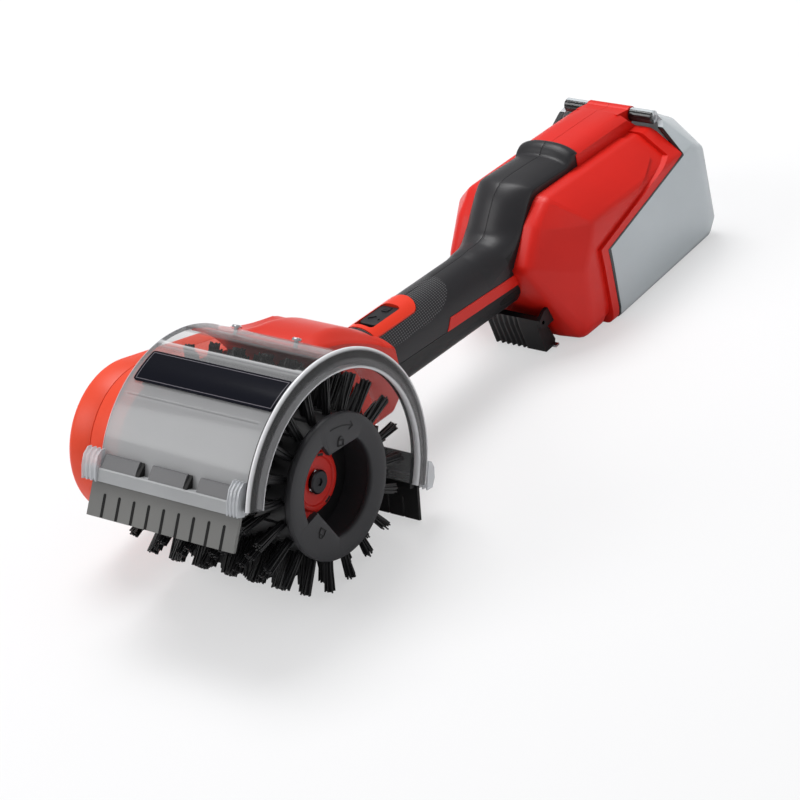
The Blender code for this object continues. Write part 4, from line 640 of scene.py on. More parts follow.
make_piece("guard_ring_edge", turned(edge_x, edge_r, ring_turn), weave(300, 15), ring_edge_painted_light, "root",
           "clear_plastic", sharp=50.0)
left_turn = np.linspace(HOOD_REAR_DEGREES, HOOD_FRONT_DEGREES, 160)
make_piece("guard_left_edge", turned([-50.5, -50.5, -50.05, -50.05], [66.8, 69.2, 69.2, 66.8], left_turn),
           weave(160, 4), ring_clear, "root", "clear_plastic")

# Hood plate
# A gloss-black plate with rounded corners is glued across the hood. A hair-thin grey border is printed near
# its edge, and the rest of it is bare.
PLATE_TURN = (97.5, 114.4)
PLATE_X = (-45.3, 50.2)
CORNER_CUT = 1.6
CORNER_DEGREES = 1.35
BORDER_TURN = (98.5, 113.4)
BORDER_X = (-43.6, 48.5)

plate_turn = np.linspace(*PLATE_TURN, 30)
plate_middle = sum(PLATE_TURN) / 2.0
into_corner = np.abs(plate_turn - plate_middle) - (PLATE_TURN[1] - plate_middle - CORNER_DEGREES)
into_corner = np.clip(into_corner, 0.0, CORNER_DEGREES) / CORNER_DEGREES
plate_cut = CORNER_CUT * (1.0 - np.sqrt(np.clip(1.0 - into_corner ** 2, 0.0, 1.0)))
plate_left, plate_right = PLATE_X[0] + plate_cut, PLATE_X[1] - plate_cut
plate_x = np.stack([plate_left, plate_left, plate_right, plate_right], axis=1)
plate_r = GUARD_RADIUS + np.array([0.3, 1.1, 1.1, 0.3])
plate_gloss = moulded("plate_gloss", (0.0045, 0.005, 0.009), 0.16, drift=0.10)
plate_gloss.node_tree.nodes["Principled BSDF"].inputs["Specular IOR Level"].default_value = 0.08
make_piece("name_plate_bare", turned(plate_x, plate_r, plate_turn), weave(30, 4), plate_gloss, "root",
           "label_black", "label_plate")
plate_line = moulded("plate_line", (0.13, 0.12, 0.14), 0.30, drift=0.05)
line_r = GUARD_RADIUS + np.array([1.0, 1.14, 1.14, 1.0])
for name, x_low, x_high, low, high, steps in (
        ("low", *BORDER_X, 113.1, 113.4, 3), ("high", *BORDER_X, 98.5, 98.8, 3),
        ("left", -44.0, -43.6, *BORDER_TURN, 24), ("right", 48.5, 48.9, *BORDER_TURN, 24)):
    line = turned([x_low, x_low, x_high, x_high], line_r, np.linspace(low, high, steps))
    make_piece(f"plate_line_{name}", line, weave(steps, 4), plate_line, "root", "clear_plastic")

# Wipers
# Two rubber wipers hang before and behind the roller. Nine slits with round tops split the grey front one's
# lower half, shown as near-black inlays on its face that paint the shade inside the slits, and the black rear
# one hangs plain in a black rail.
GUARD_LEAN = 24.0
WIPER_FLARE = 12.0
SLIT_COUNT = 9
SLIT_PITCH = 10.32
SLIT_HALF = 0.9
SLIT_TOP = 6.9
SLIT_FOOT = 18.9


def tilted(outline):
    """(y, z) of points (u, w) in the guard's leaning frame, u backwards and w up along its middle line."""
    u, w = np.moveaxis(np.asarray(outline, dtype=float), -1, 0)
    lean = np.radians(GUARD_LEAN)
    y = u * np.cos(lean) + w * np.sin(lean)
    return np.stack([y, AXLE_HEIGHT - u * np.sin(lean) + w * np.cos(lean)], axis=-1)


slit_turn = np.radians(np.linspace(0.0, 180.0, 15))
slit_across = np.concatenate([[SLIT_HALF], SLIT_HALF * np.cos(slit_turn), [-SLIT_HALF]])
slit_below = np.concatenate([[SLIT_FOOT], SLIT_TOP - SLIT_HALF * np.sin(slit_turn), [SLIT_FOOT]])
flare = np.radians(WIPER_FLARE)
slit_sheets = []
for proud in (0.14, -0.3):
    slit_u = -(73.3 + proud + slit_below * np.sin(flare))
    slit_w = -5.0 - slit_below * np.cos(flare)
    slit_sheets.append(np.column_stack([slit_across, tilted(np.stack([slit_u, slit_w], axis=-1))]))
slit_shifts = SLIT_PITCH * (np.arange(SLIT_COUNT) - (SLIT_COUNT - 1) / 2.0)
# Painted shade: two near-black sheets on each slit's outline stand for the shade inside the slit.
slit_painted_shade = moulded("slit_painted_shade", (0.003, 0.003, 0.003), 0.7, drift=0.05)
slit_grids = [np.stack(slit_sheets) + (shift, 0.0, 0.0) for shift in slit_shifts]
make_piece("wiper_slits", *gather(slit_grids), slit_painted_shade, "root", "black_rubber")
grey_wiper = moulded("grey_wiper", (0.17, 0.17, 0.165), 0.62, 0.3, 900.0)
recoat(grey_wiper, "front_flap")
recoat(black_rubber, "rear_flap")
recoat(black_plastic, "rear_flap_rail")

# Wiper holders
# The front wiper hangs in a clear rail with three grey snap panels, the first two with a black wedge beside
# them. Ribbed clear blocks close the rail's two ends and the ring's rear end.
PANEL_MIDDLES = (-33.0, 0.0, 33.0)
PANEL_LINE = [(-69.95, 2.3), (-74.6, 2.3), (-73.6, 5.0), (-71.6, 9.0), (-70.4, 9.4), (-69.8, 9.0)]
WEDGE_LINE = [(-70.0, 2.3), (-74.8, 2.3), (-70.0, 9.0)]
RAIL_LINE = [(-75.3, 1.5), (-74.6, 2.2), (-70.6, 2.2), (-69.9, 1.5), (-69.9, -2.2), (-67.0, -2.2),
             (-67.0, -5.0), (-71.0, -5.0), (-71.0, -1.2), (-73.6, -1.2), (-73.6, -5.0), (-75.3, -5.0)]

rail_clear = moulded("rail_clear", (0.46, 0.47, 0.48), 0.14, drift=0.05, alpha=0.80)
panel_grey = moulded("panel_grey", (0.10, 0.10, 0.105), 0.34, drift=0.05)
make_piece("front_rail", drawn(tilted(RAIL_LINE), (-56.5, 50.15)), weave(2, 12), rail_clear, "root",
           "clear_plastic", "front_flap_rail")
for n, middle in enumerate(PANEL_MIDDLES, 1):
    panel = drawn(tilted(PANEL_LINE), (middle - 12.0, middle - 11.0, middle + 11.0, middle + 12.0))
    make_piece(f"snap_panel_{n}", panel, weave(4, 6), panel_grey, "root", "clear_plastic")
    if n < len(PANEL_MIDDLES):
        wedge = drawn(tilted(WEDGE_LINE), (middle + 12.3, middle + 14.6))
        make_piece(f"snap_wedge_{n}", wedge, weave(2, 3), deep_black, "root", "black_plastic")


def ribbed_block(name, corners, x_low, x_high, ribs):
    """A clear end block: an outline in the leaning frame drawn along X, with every second rib smaller."""
    corners = np.asarray(corners)
    middle = corners.mean(axis=0)
    rows = []
    for k, x in enumerate(np.linspace(x_low, x_high, 4 * ribs + 2)):
        drawn_in = 0.86 if (k // 2) % 2 else 1.0
        rows.append(drawn(tilted(middle + (corners - middle) * drawn_in), [x])[0])
    make_piece(name, np.array(rows), weave(len(rows), len(corners)), ring_clear, "root", "clear_plastic")


ribbed_block("corner_block_right", [
    (-76.4, -5.2), (-76.8, 2.0), (-75.6, 8.6), (-72.6, 12.6), (-70.0, 12.8), (-69.9, -2.0), (-70.6, -5.4)],
             43.5, 50.9, 3)
ribbed_block("corner_block_left", [
    (-76.4, -5.2), (-76.8, 2.0), (-75.6, 8.0), (-72.6, 11.4), (-70.0, 11.6), (-69.9, -2.0), (-70.6, -5.4)],
             -57.0, -46.8, 3)
ribbed_block("corner_block_rear", [
    (75.0, -13.4), (79.6, -12.4), (81.2, -7.0), (80.0, -1.0), (77.2, 2.4), (75.0, 2.8)], 49.5, 55.8, 2)

# Drive drum
# The red gear case at the roller's left end: a round drum that tapers back to the motor, split across its
# width by a fine joint, with its outer edge well rounded and a dark cap let into the side.
DRUM_RADIUS = 43.5
DRUM_REAR = (83.8, 64.5)
DRUM_REAR_RADIUS = 13.4
DRUM_JOINT = -82.5
DRUM_LEFT = -100.0
DRUM_EDGE = 4.6


def belt_outline(inset, steps=96):
    """Round two circles and their common tangents: the drum's about the axle, and a smaller one behind."""
    dy, dz = DRUM_REAR[0], DRUM_REAR[1] - AXLE_HEIGHT
    heading = np.degrees(np.arctan2(dz, dy))
    lean = np.degrees(np.arccos((DRUM_RADIUS - DRUM_REAR_RADIUS) / np.hypot(dy, dz)))
    near = polar_path(DRUM_RADIUS - inset, heading + np.linspace(lean, 360.0 - lean, steps))
    rear = polar_path(DRUM_REAR_RADIUS - inset, heading + np.linspace(-lean, lean, steps // 3))
    return np.concatenate([near, rear + (dy, dz)])


def belt_solid(name, places, finish, *nodes):
    """A closed skin through sections (x, inset) of the drum's outline."""
    rows = np.concatenate([drawn(belt_outline(inset), [x]) for x, inset in places])
    make_piece(name, rows, weave(*rows.shape[:2]), finish, "root", "red_plastic", *nodes)


# Painted light: a brighter, more orange copy of the red plastic, for the stronger light falling on the drum.
drum_red_painted_light = moulded("drum_red_painted_light", (0.74, 0.058, 0.020), 0.40, 0.2, drift=0.04)
joint_ease = np.array([(0.47, 0.0), (0.24, 0.1), (0.12, 0.3), (0.12, 3.0)])
belt_solid("drum_case", [(-62.3, 2.6), (-62.3, 0.3), (-62.6, 0.0), *((DRUM_JOINT, 0.0) + joint_ease)],
           drum_red_painted_light, "drive_case")
edge_turn = np.radians(np.linspace(0.0, 90.0, 10))
drum_edge = [(DRUM_LEFT + DRUM_EDGE * (1.0 - np.sin(a)), DRUM_EDGE * (1.0 - np.cos(a))) for a in edge_turn]
belt_solid("drum_cover", [*((DRUM_JOINT, 0.0) + joint_ease[::-1] * (-1.0, 1.0)), *drum_edge], drum_red_painted_light,
           "drive_cover")
cap_x = np.array([-100.2, -100.2, -101.4, -102.4, -103.1, -103.5, -103.5, -102.9, -102.9, -103.5, -103.5])
cap_r = np.array([0.0, 36.6, 36.4, 35.8, 34.6, 32.6, 27.0, 26.4, 25.4, 24.8, 0.0])
cap_charcoal = moulded("cap_charcoal", (0.017, 0.017, 0.019), 0.5, 0.35, 1600.0, 0.08)
make_piece("drum_side_cap", turned(cap_x, cap_r, np.arange(180) * 2.0), weave(180, 11, True, False),
           cap_charcoal, "root", "charcoal_grip", "side_cap")

# Head housing
# The red saddle behind the hood rises in a soft dome to the handle's front and falls away steeply at the
# right. Its top is a height field over the saddle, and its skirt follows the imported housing's own outline.
HEAD_LEFT = -62.0
HEAD_RIGHT = 20.0
HEAD_CLOSE = 8.0
HEAD_CENTRE = np.array([80.0, 74.0])
RIDGE = np.array([97.5, 85.2])
DOME = 5.2
DOME_SWELL = 1.8
DOME_LEAN = np.array([27.0, 52.0]) / np.hypot(27.0, 52.0)
RIGHT_FALL = 3.0
LEFT_FALL = 3.4
SKIRT_LINE = [(104.0, 73.0), (104.0, 52.5), (102.9, 50.0), (91.8, 42.6), (90.0, 42.0), (80.0, 42.9),
              (70.0, 43.8)]
MIDDLE = -7.0
HANDLE_HALF = 17.5
HANDLE_RISE = 22.3
HANDLE_POWER = 2.1
HANDLE_FRONT = 97.0
HANDLE_TOP = 84.4
HANDLE_FALL = -0.092


def saddle_section(x):
    """The outline behind the hood at a place along X. It swells at the handle and sinks at both sides."""
    swell = smooth_step(-abs(x - MIDDLE), -42.0, -14.0)
    fall = RIGHT_FALL * smooth_step(x, 8.0, HEAD_RIGHT)
    left = smooth_step(-x, 44.0, 62.0)
    sunk = smooth_step(-x, 24.0, 46.0)
    seat = polar_path(69.3 - 2.2 * sunk, [49.4])[0]
    share = np.linspace(0.0, 1.0, 24)
    bulge = (DOME + DOME_SWELL * swell - fall - LEFT_FALL * left) * np.sin(np.pi * share ** 0.9) ** 0.8
    bulge = bulge * (1.0 - sunk) - 3.0 * sunk * np.sin(np.pi * share)
    top = seat + np.outer(share, RIDGE - seat) + np.outer(bulge, DOME_LEAN) - np.outer(share, (0.0, fall))
    back_turn = np.radians(np.linspace(70.0, -10.0, 9))
    back = np.stack([98.0 + 6.0 * np.cos(back_turn), 78.0 - fall + 6.0 * np.sin(back_turn)], axis=-1)
    arc = polar_path(63.6, np.linspace(-14.0, 56.0, 36))
    return np.concatenate([top[1:], back, SKIRT_LINE, arc, polar_path(66.1, [56.0, 49.6]), [seat]])


def handle_top(y):
    """The height of the handle's top, which falls in a straight line towards the rear."""
    return HANDLE_TOP + HANDLE_FALL * (y - HANDLE_FRONT)


def superellipse_path(grow, y, turns):
    """The handle's section, x^p + z^p = 1 about its widest line, grown outwards and sheared down with y."""
    angle = np.radians(turns)
    power = 2.0 / HANDLE_POWER
    x = MIDDLE + (HANDLE_HALF + grow) * np.sign(np.cos(angle)) * np.abs(np.cos(angle)) ** power
    rise = (HANDLE_RISE + grow) * np.sign(np.sin(angle)) * np.abs(np.sin(angle)) ** power
    return np.stack([x, np.broadcast_to(y, x.shape), handle_top(y) - HANDLE_RISE + rise], axis=-1)


end_turn = np.radians(np.linspace(0.0, 90.0, 12))[1:]
head_x = np.concatenate([[HEAD_LEFT], np.linspace(HEAD_LEFT + 1.0, HEAD_RIGHT - HEAD_CLOSE, 60),
                         HEAD_RIGHT - HEAD_CLOSE * np.cos(end_turn)])
closing = np.clip((head_x - HEAD_RIGHT + HEAD_CLOSE) / HEAD_CLOSE, 0.0, 1.0)
shrink = 1.0 - 0.10 * (1.0 - np.sqrt(1.0 - closing ** 2))
head_rows = np.concatenate([drawn(HEAD_CENTRE + (saddle_section(x) - HEAD_CENTRE) * scale, [x])
                            for x, scale in zip(head_x, shrink)])
head_red = moulded("head_red", (0.60, 0.022, 0.008), 0.36, 0.2, drift=0.04)
saddle = shape_from("head_saddle", head_rows, weave(*head_rows.shape[:2]))
notch_rows = np.array([superellipse_path(0.25, y, np.arange(0.0, 360.0, 5.0)) for y in (96.8, 130.0)])
room_rear = [(94.9, 83.0), (101.1, 72.0), (101.1, 52.6), (88.7, 45.1)]
room_left = np.concatenate([polar_path(66.2, np.linspace(-10.0, 26.0, 6)), [(76.0, 88.0)], room_rear])
room_right = np.concatenate([polar_path(66.2, np.linspace(-10.0, 40.0, 8)), room_rear])
carve(saddle, "DIFFERENCE", shape_from("head_notch", notch_rows, weave(2, 72)),
      drawn_out("motor_room", room_left, -70.0, -18.0), drawn_out("front_room", room_right, -18.5, 17.0))
fasten(saddle, head_red, "root", "red_plastic", "head_housing", sharp=28.0)

# Grips
# Two dark moulded halves make the handle's round upper shell. They meet in a fine seam along the top and
# run on as a flat-topped strip over the box. A band of raised diamonds surrounds the switch.
HANDLE_REAR = 246.0
HANDLE_SEAM = (60.7, -0.117)
HANDLE_WALL = 3.0
TOP_SEAM_HALF = 0.13
SEAM_EASE = 0.15
SPINE_HALF = 19.0
SPINE_CROWN = 4.4
SHOULDER_EASE = 0.9
SPINE_PLACES = np.array([
    # y, height of the middle, how far back the edges stand, share of the flat-topped section
    (196.0, 74.9, 0.0, 0.0), (205.0, 75.1, 0.0, 0.2), (212.0, 74.7, 1.0, 0.35), (217.5, 74.8, 3.0, 0.6),
    (224.0, 77.0, 6.0, 1.0), (231.0, 85.0, 6.5, 1.0), (238.0, 92.6, 6.5, 1.0), (245.0, 97.0, 5.0, 1.0),
    (251.0, 97.7, 2.5, 1.0), (258.8, 97.2, 0.0, 1.0), (270.0, 96.0, 0.0, 1.0), (281.0, 94.8, 0.0, 1.0),
    (285.5, 94.7, 0.0, 1.0), (289.0, 97.6, 0.0, 1.0), (292.0, 99.0, 0.0, 1.0), (294.8, 98.9, 0.0, 1.0),
    (296.4, 98.0, 0.0, 1.0)])
KNURL_MIDDLE = 128.5
KNURL_HALVES = (44.5, 16.3)
KNURL_TURNS = 1750.0
KNURL_WIDEN = 1.35
KNURL_SLANT = -0.8
KNURL_TIPS = 0.3
SHADE_WALL_FROM = 218.0
SHADE_WALL_FACING = 0.86
BEZEL_Y = (105.0, 147.0)
BEZEL_HALF = 11.5
BEZEL_NOSE = 9.0
BEZEL_GAP = 0.25


def grip_angles(y, grow):
    """The turns from the handle's side seam up to its middle seam."""
    seam = HANDLE_SEAM[0] + HANDLE_SEAM[1] * (y - HANDLE_FRONT)
    drop = (handle_top(y) - HANDLE_RISE - seam) / (HANDLE_RISE + grow)
    low = -np.degrees(np.arcsin(drop ** (HANDLE_POWER / 2.0)))
    high = np.degrees(np.arccos((TOP_SEAM_HALF / (HANDLE_HALF + grow)) ** (HANDLE_POWER / 2.0)))
    return low, high


def grip_ring(side, y, steps=44):
    """One half's closed section: its outer face from seam to seam, its eased edges and its inner face."""
    low, high = grip_angles(y, 0.0)
    outer = superellipse_path(0.0, y, np.linspace(low, high, steps))
    low, high = grip_angles(y, -HANDLE_WALL)
    inner = superellipse_path(-HANDLE_WALL, y, np.linspace(high, low, steps // 3))
    ring = np.concatenate([outer, inner])
    ring[[0, -1], 2] += SEAM_EASE
    ring[steps - 1, 2] -= SEAM_EASE
    ring[:, 0] = MIDDLE + side * (ring[:, 0] - MIDDLE)
    return ring


def smooth_through(places, count):
    """A curve through rows of values, spaced evenly by row, as Catmull-Rom pieces."""
    rows = np.vstack([places[0], places, places[-1]])
    t = np.linspace(0.0, len(places) - 1.0, count)
    k = np.minimum(t.astype(int), len(places) - 2)
    u = (t - k)[:, None]
    a, b, c, d = rows[k], rows[k + 1], rows[k + 2], rows[k + 3]
    bend = 2 * a - 5 * b + 4 * c - d
    return 0.5 * (2 * b + (c - a) * u + bend * u ** 2 + (3 * b - a - 3 * c + d) * u ** 3)


def spine_ring(side, place):
    """The strip's section beside the seam: a crown falling as 4.4 a^2.6, an eased shoulder and a wall."""
    y, height, back, share = place
    share = np.clip(share, 0.0, 1.0)
    shoulder = np.radians(np.linspace(0.0, 90.0, 8))[1:]
    a = np.concatenate([np.linspace(0.0, 0.88, 18), 0.88 + 0.12 * np.sin(shoulder)])
    crown = SPINE_CROWN * a ** 2.6
    crown[-7:] += SHOULDER_EASE * (1.0 - np.cos(shoulder))
    arch_x = np.minimum(a * HANDLE_HALF, HANDLE_HALF - 0.4)
    arch = 1.0 - (1.0 - (arch_x / HANDLE_HALF) ** HANDLE_POWER) ** (1.0 / HANDLE_POWER)
    arch = HANDLE_RISE * arch + 0.2 * crown
    x = np.maximum(arch_x + (a * SPINE_HALF - arch_x) * share, TOP_SEAM_HALF)
    z = height - arch + (arch - crown) * share
    wall = height - HANDLE_RISE + (HANDLE_RISE - 14.0) * share
    x = np.concatenate([x, [x[-1], x[-1], TOP_SEAM_HALF]])
    z = np.concatenate([z, [z[-1] - (z[-1] - wall) * 0.5, wall, wall]])
    reach = np.concatenate([y + back * a ** 2, [y + back, y + back, y]])
    z[0] -= 0.12
    return np.column_stack([MIDDLE + side * x, reach, z])


def facing_sideways(finish, step):
    """How far a face is turned to the side, as a socket: the size of its normal's X."""
    nodes = finish.node_tree.nodes
    split = nodes.new("ShaderNodeSeparateXYZ")
    finish.node_tree.links.new(nodes.new("ShaderNodeNewGeometry").outputs["True Normal"], split.inputs[0])
    return step("ABSOLUTE", split.outputs["X"])


def painted(finish, mask, under, colour):
    """A flat colour laid over another where a mask is 1, as a socket."""
    mix = finish.node_tree.nodes.new("ShaderNodeMix")
    mix.data_type = "RGBA"
    finish.node_tree.links.new(mask, mix.inputs["Factor"])
    finish.node_tree.links.new(under, mix.inputs["A"])
    mix.inputs["B"].default_value = (*colour, 1.0)
    return mix.outputs["Result"]


def knurled(name, colour):
    """Charcoal with diamonds round the switch, sin u sin v on crossed diagonals, and painted shade on steep
    side walls.
    """
    finish = moulded(name, colour, 0.40, 0.25, 1700.0, 0.05)
    nodes = finish.node_tree.nodes
    links = finish.node_tree.links
    step = sums_in(finish)
    place = place_in(finish)
    along = place["Y"]
    off_seam = step("ADD", place["X"], -MIDDLE * 0.001)
    off_switch = step("ADD", along, (AXLE_AHEAD - KNURL_MIDDLE) * 0.001)
    round_it = step("ABSOLUTE", step("MULTIPLY", off_seam, KNURL_WIDEN))
    round_it = step("ADD", round_it, step("MULTIPLY", place["Z"], KNURL_SLANT))
    waves = [step("SINE", step("MULTIPLY", step(way, round_it, along), KNURL_TURNS))
             for way in ("ADD", "SUBTRACT")]
    diamond = step("GREATER_THAN", step("MULTIPLY", *waves), KNURL_TIPS)
    reach = [step("POWER", step("MULTIPLY", off, 1000.0 / half), 4.0)
             for off, half in zip((off_switch, off_seam), KNURL_HALVES)]
    mask = step("MULTIPLY", step("LESS_THAN", step("ADD", *reach), 1.0), diamond)
    # Painted shade: faces turned to the side, behind y 218 (the strip's side walls), are painted near black.
    steep_shade = step("GREATER_THAN", facing_sideways(finish, step), SHADE_WALL_FACING)
    wall = step("MULTIPLY", steep_shade, step("GREATER_THAN", along, (SHADE_WALL_FROM - AXLE_AHEAD) * 0.001))
    shade = painted(finish, mask, nodes["Color Ramp"].outputs["Color"], (0.11, 0.11, 0.115))
    shade = painted(finish, wall, shade, (0.008, 0.008, 0.009))
    links.new(shade, nodes["Principled BSDF"].inputs["Base Color"])
    relief = nodes.new("ShaderNodeBump")
    relief.inputs["Strength"].default_value = 0.9
    relief.inputs["Distance"].default_value = 0.0005
    links.new(mask, relief.inputs["Height"])
    links.new(nodes["Bump"].outputs["Normal"], relief.inputs["Normal"])
    links.new(relief.outputs["Normal"], nodes["Principled BSDF"].inputs["Normal"])
    return finish


def arch_patch(half, low, high, inner, outer, rows=34, columns=22):
    """A plate bent over the handle's top: straight in front, its rear end a half ellipse."""
    nose = np.radians(np.linspace(0.0, 86.0, rows // 2 + 1)[1:])
    y = np.concatenate([np.linspace(low, high - BEZEL_NOSE, rows // 2),
                        high - BEZEL_NOSE * (1.0 - np.sin(nose))])
    into = np.clip((y - (high - BEZEL_NOSE)) / BEZEL_NOSE, 0.0, 1.0)
    wide = np.maximum(half * np.sqrt(1.0 - into ** 2.6), 0.6)
    sections = []
    for level, width in zip(y, wide):
        ring = []
        for grow, flip in ((outer, 1), (inner, -1)):
            first = np.degrees(np.arccos((width / (HANDLE_HALF + grow)) ** (HANDLE_POWER / 2.0)))
            ring.append(superellipse_path(grow, level, np.linspace(first, 180.0 - first, columns)[::flip]))
        sections.append(np.concatenate(ring))
    return np.array(sections), weave(len(sections), 2 * columns)


def sloped_block(half, low, high, under, over, corner, middle=126.0):
    """Outline and faces of a block that lies along the handle's top, its corners rounded by an arc."""
    turn = np.linspace(0.0, 90.0, 7)
    plan = []
    for cx, cy, start in ((half - corner, high - corner, 0.0), (corner - half, high - corner, 90.0),
                          (corner - half, low + corner, 180.0), (half - corner, low + corner, 270.0)):
        angle = np.radians(turn + start)
        plan.append(np.column_stack([cx + corner * np.cos(angle), cy + corner * np.sin(angle)]))
    x, y = np.concatenate(plan).T
    rows = []
    for level, shrink in ((under, 0.0), (over - 0.5, 0.0), (over - 0.15, 0.15), (over, 0.5)):
        scale = 1.0 - shrink / half
        along = middle + (y - middle) * scale
        rows.append(np.column_stack([MIDDLE + x * scale, along, handle_top(along) + level]))
    return np.array(rows), weave(4, len(x))


grip_charcoal_wall_shade = knurled("grip_charcoal_wall_shade", (0.018, 0.0175, 0.020))
grip_y = np.linspace(HANDLE_FRONT, HANDLE_REAR, 60)
spine_places = smooth_through(SPINE_PLACES, 96)
core_rows = np.array([superellipse_path(-HANDLE_WALL, y, np.arange(0.0, 360.0, 6.0)) for y in (95.0, 248.0)])
for tag, side in (("left", -1.0), ("right", 1.0)):
    grip = shape_from(f"grip_skin_{tag}", np.array([grip_ring(side, y) for y in grip_y]), weave(60, 58))
    strip = shape_from("strip", np.array([spine_ring(side, place) for place in spine_places]), weave(96, 28))
    carve(strip, "DIFFERENCE", shape_from("core", core_rows, weave(2, 60)))
    carve(grip, "UNION", strip)
    seat = arch_patch(BEZEL_HALF + BEZEL_GAP, BEZEL_Y[0] - BEZEL_GAP, BEZEL_Y[1] + BEZEL_GAP, -2.2, 6.0)
    hole = sloped_block(9.6, 106.8, 138.0, -12.0, 3.0, 2.0)
    carve(grip, "DIFFERENCE", shape_from("bezel_seat", *seat), shape_from("switch_hole", *hole))
    fasten(grip, grip_charcoal_wall_shade, "root", "charcoal_grip", f"grip_{tag}", sharp=36.0)

# Handle recess
# A short slot in the lower shell's right side, just below its seam with the grip, whose half-width falls
# as the root of 1 - t^4. It is a thin near-black inlay over the shell's face, painted shade standing for the
# slot's depth.
RECESS_MIDDLE = 220.0
RECESS_HALF = 14.0

recess_rows = []
for y in np.linspace(RECESS_MIDDLE - RECESS_HALF, RECESS_MIDDLE + RECESS_HALF, 29):
    half = 2.7 * np.sqrt(np.clip(1.0 - np.abs((y - RECESS_MIDDLE) / RECESS_HALF) ** 4, 0.0, 1.0)) + 0.05
    spread = np.linspace(-half, half, 7) / HANDLE_RISE
    turns = grip_angles(y, 0.0)[0] - np.degrees(0.26 - spread)
    recess_rows.append(np.concatenate([superellipse_path(0.14, y, turns),
                                       superellipse_path(-0.6, y, turns[::-1])]))
recess_painted_shade = moulded("recess_painted_shade", (0.003, 0.003, 0.003), 0.7, drift=0.05)
make_piece("handle_recess", np.array(recess_rows), weave(29, 14), recess_painted_shade, "root", "black_plastic")

# Side strips
# A slim red strip is let in between the grip and the lower shell on either side of the handle. Both are
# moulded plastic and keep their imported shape.
red_plastic = moulded("red_plastic", (0.62, 0.016, 0.008), 0.36, 0.25, drift=0.04)
recoat(red_plastic, "inlay_left", "inlay_right")

# Switch
# A bright red arched bezel is let into the grips round the sliding switch, whose dark pad carries a chevron
# and three short bars. All of it is moulded plastic, and the pad with its raised signs slides along the
# handle.
BARS = [(128.6, 129.7, 2.6), (130.7, 131.8, 2.6), (132.6, 133.5, 2.2)]
CHEVRON = np.array([(-3.6, 118.0), (0.0, 121.4), (3.6, 118.0), (3.6, 119.6), (0.0, 123.2), (-3.6, 119.6)])
SIGN_FOOT = -1.6
SIGN_TOP = -0.65

bezel_red = moulded("bezel_red", (0.74, 0.036, 0.012), 0.34, 0.15, drift=0.04)
bezel = shape_from("bezel_skin", *arch_patch(BEZEL_HALF, *BEZEL_Y, -1.9, 0.45))
carve(bezel, "DIFFERENCE", shape_from("bezel_window", *sloped_block(6.5, 108.2, 135.3, -12.0, 3.0, 2.4)))
fasten(bezel, bezel_red, "root", "red_plastic", "switch_bezel", sharp=40.0)
switch_dark = moulded("switch_dark", (0.012, 0.012, 0.015), 0.45, 0.2, 1700.0)
make_piece("switch_pad", *sloped_block(6.2, 113.0, 135.0, -5.1, -1.2, 2.1), switch_dark, "switch_body",
           "black_plastic", "power_switch")
for n, (low, high, half) in enumerate(BARS, 1):
    make_piece(f"switch_bar_{n}", *sloped_block(half, low, high, SIGN_FOOT, SIGN_TOP, 0.35), switch_dark,
               "switch_body", "black_plastic")
chevron_rows = np.array([np.column_stack([CHEVRON + (MIDDLE, 0.0), handle_top(CHEVRON[:, 1]) + level])
                         for level in (SIGN_FOOT, SIGN_TOP)])
make_piece("switch_chevron", chevron_rows, weave(2, 6), switch_dark, "switch_body", "black_plastic")

# Battery box
# Two red shells with softly rounded corners carry the battery, and a raised bar on top holds the hinge. A
# groove and a lip follow the edge where the clear cover begins, and an ear stands on each side of the latch,
# painted black as painted shade where the shadow falls beside the latch.
BOX_POINTS = [
    # corners of half of the outer skin, (x from the middle plane, y, z)
    (33.6, 238.5, 0.0), (45.5, 240.0, 0.0), (45.6, 263.6, 0.0), (47.6, 276.0, 0.0), (48.0, 373.0, 0.0),
    (49.0, 373.6, 2.1), (49.0, 379.0, 7.8), (49.0, 379.0, 58.0), (49.0, 371.6, 64.1), (49.0, 244.5, 45.0),
    (49.0, 259.7, 72.0), (48.0, 241.0, 4.0), (29.0, 220.5, 58.0), (29.0, 235.0, 79.0), (29.5, 248.0, 89.5),
    (31.0, 357.0, 79.5)]
BOX_SPAN = (MIDDLE - 79.0, MIDDLE + 79.0)
HINGE = (358.2, 85.6)
PIN_RADIUS = 1.8
LATCH_PIN = (224.4, 22.0)
BAR_HALF = 19.5
BAR_LINE = np.array([
    # y, z in the bar's middle, and 1 where the point lies on its domed top
    (294.5, 84.0, 0), (294.5, 96.0, 1), (295.3, 96.6, 1), (301.8, 96.2, 1), (322.9, 94.5, 1),
    (345.6, 92.4, 1), (347.6, 91.6, 1), (355.2, 80.0, 0), (352.0, 78.5, 0)])


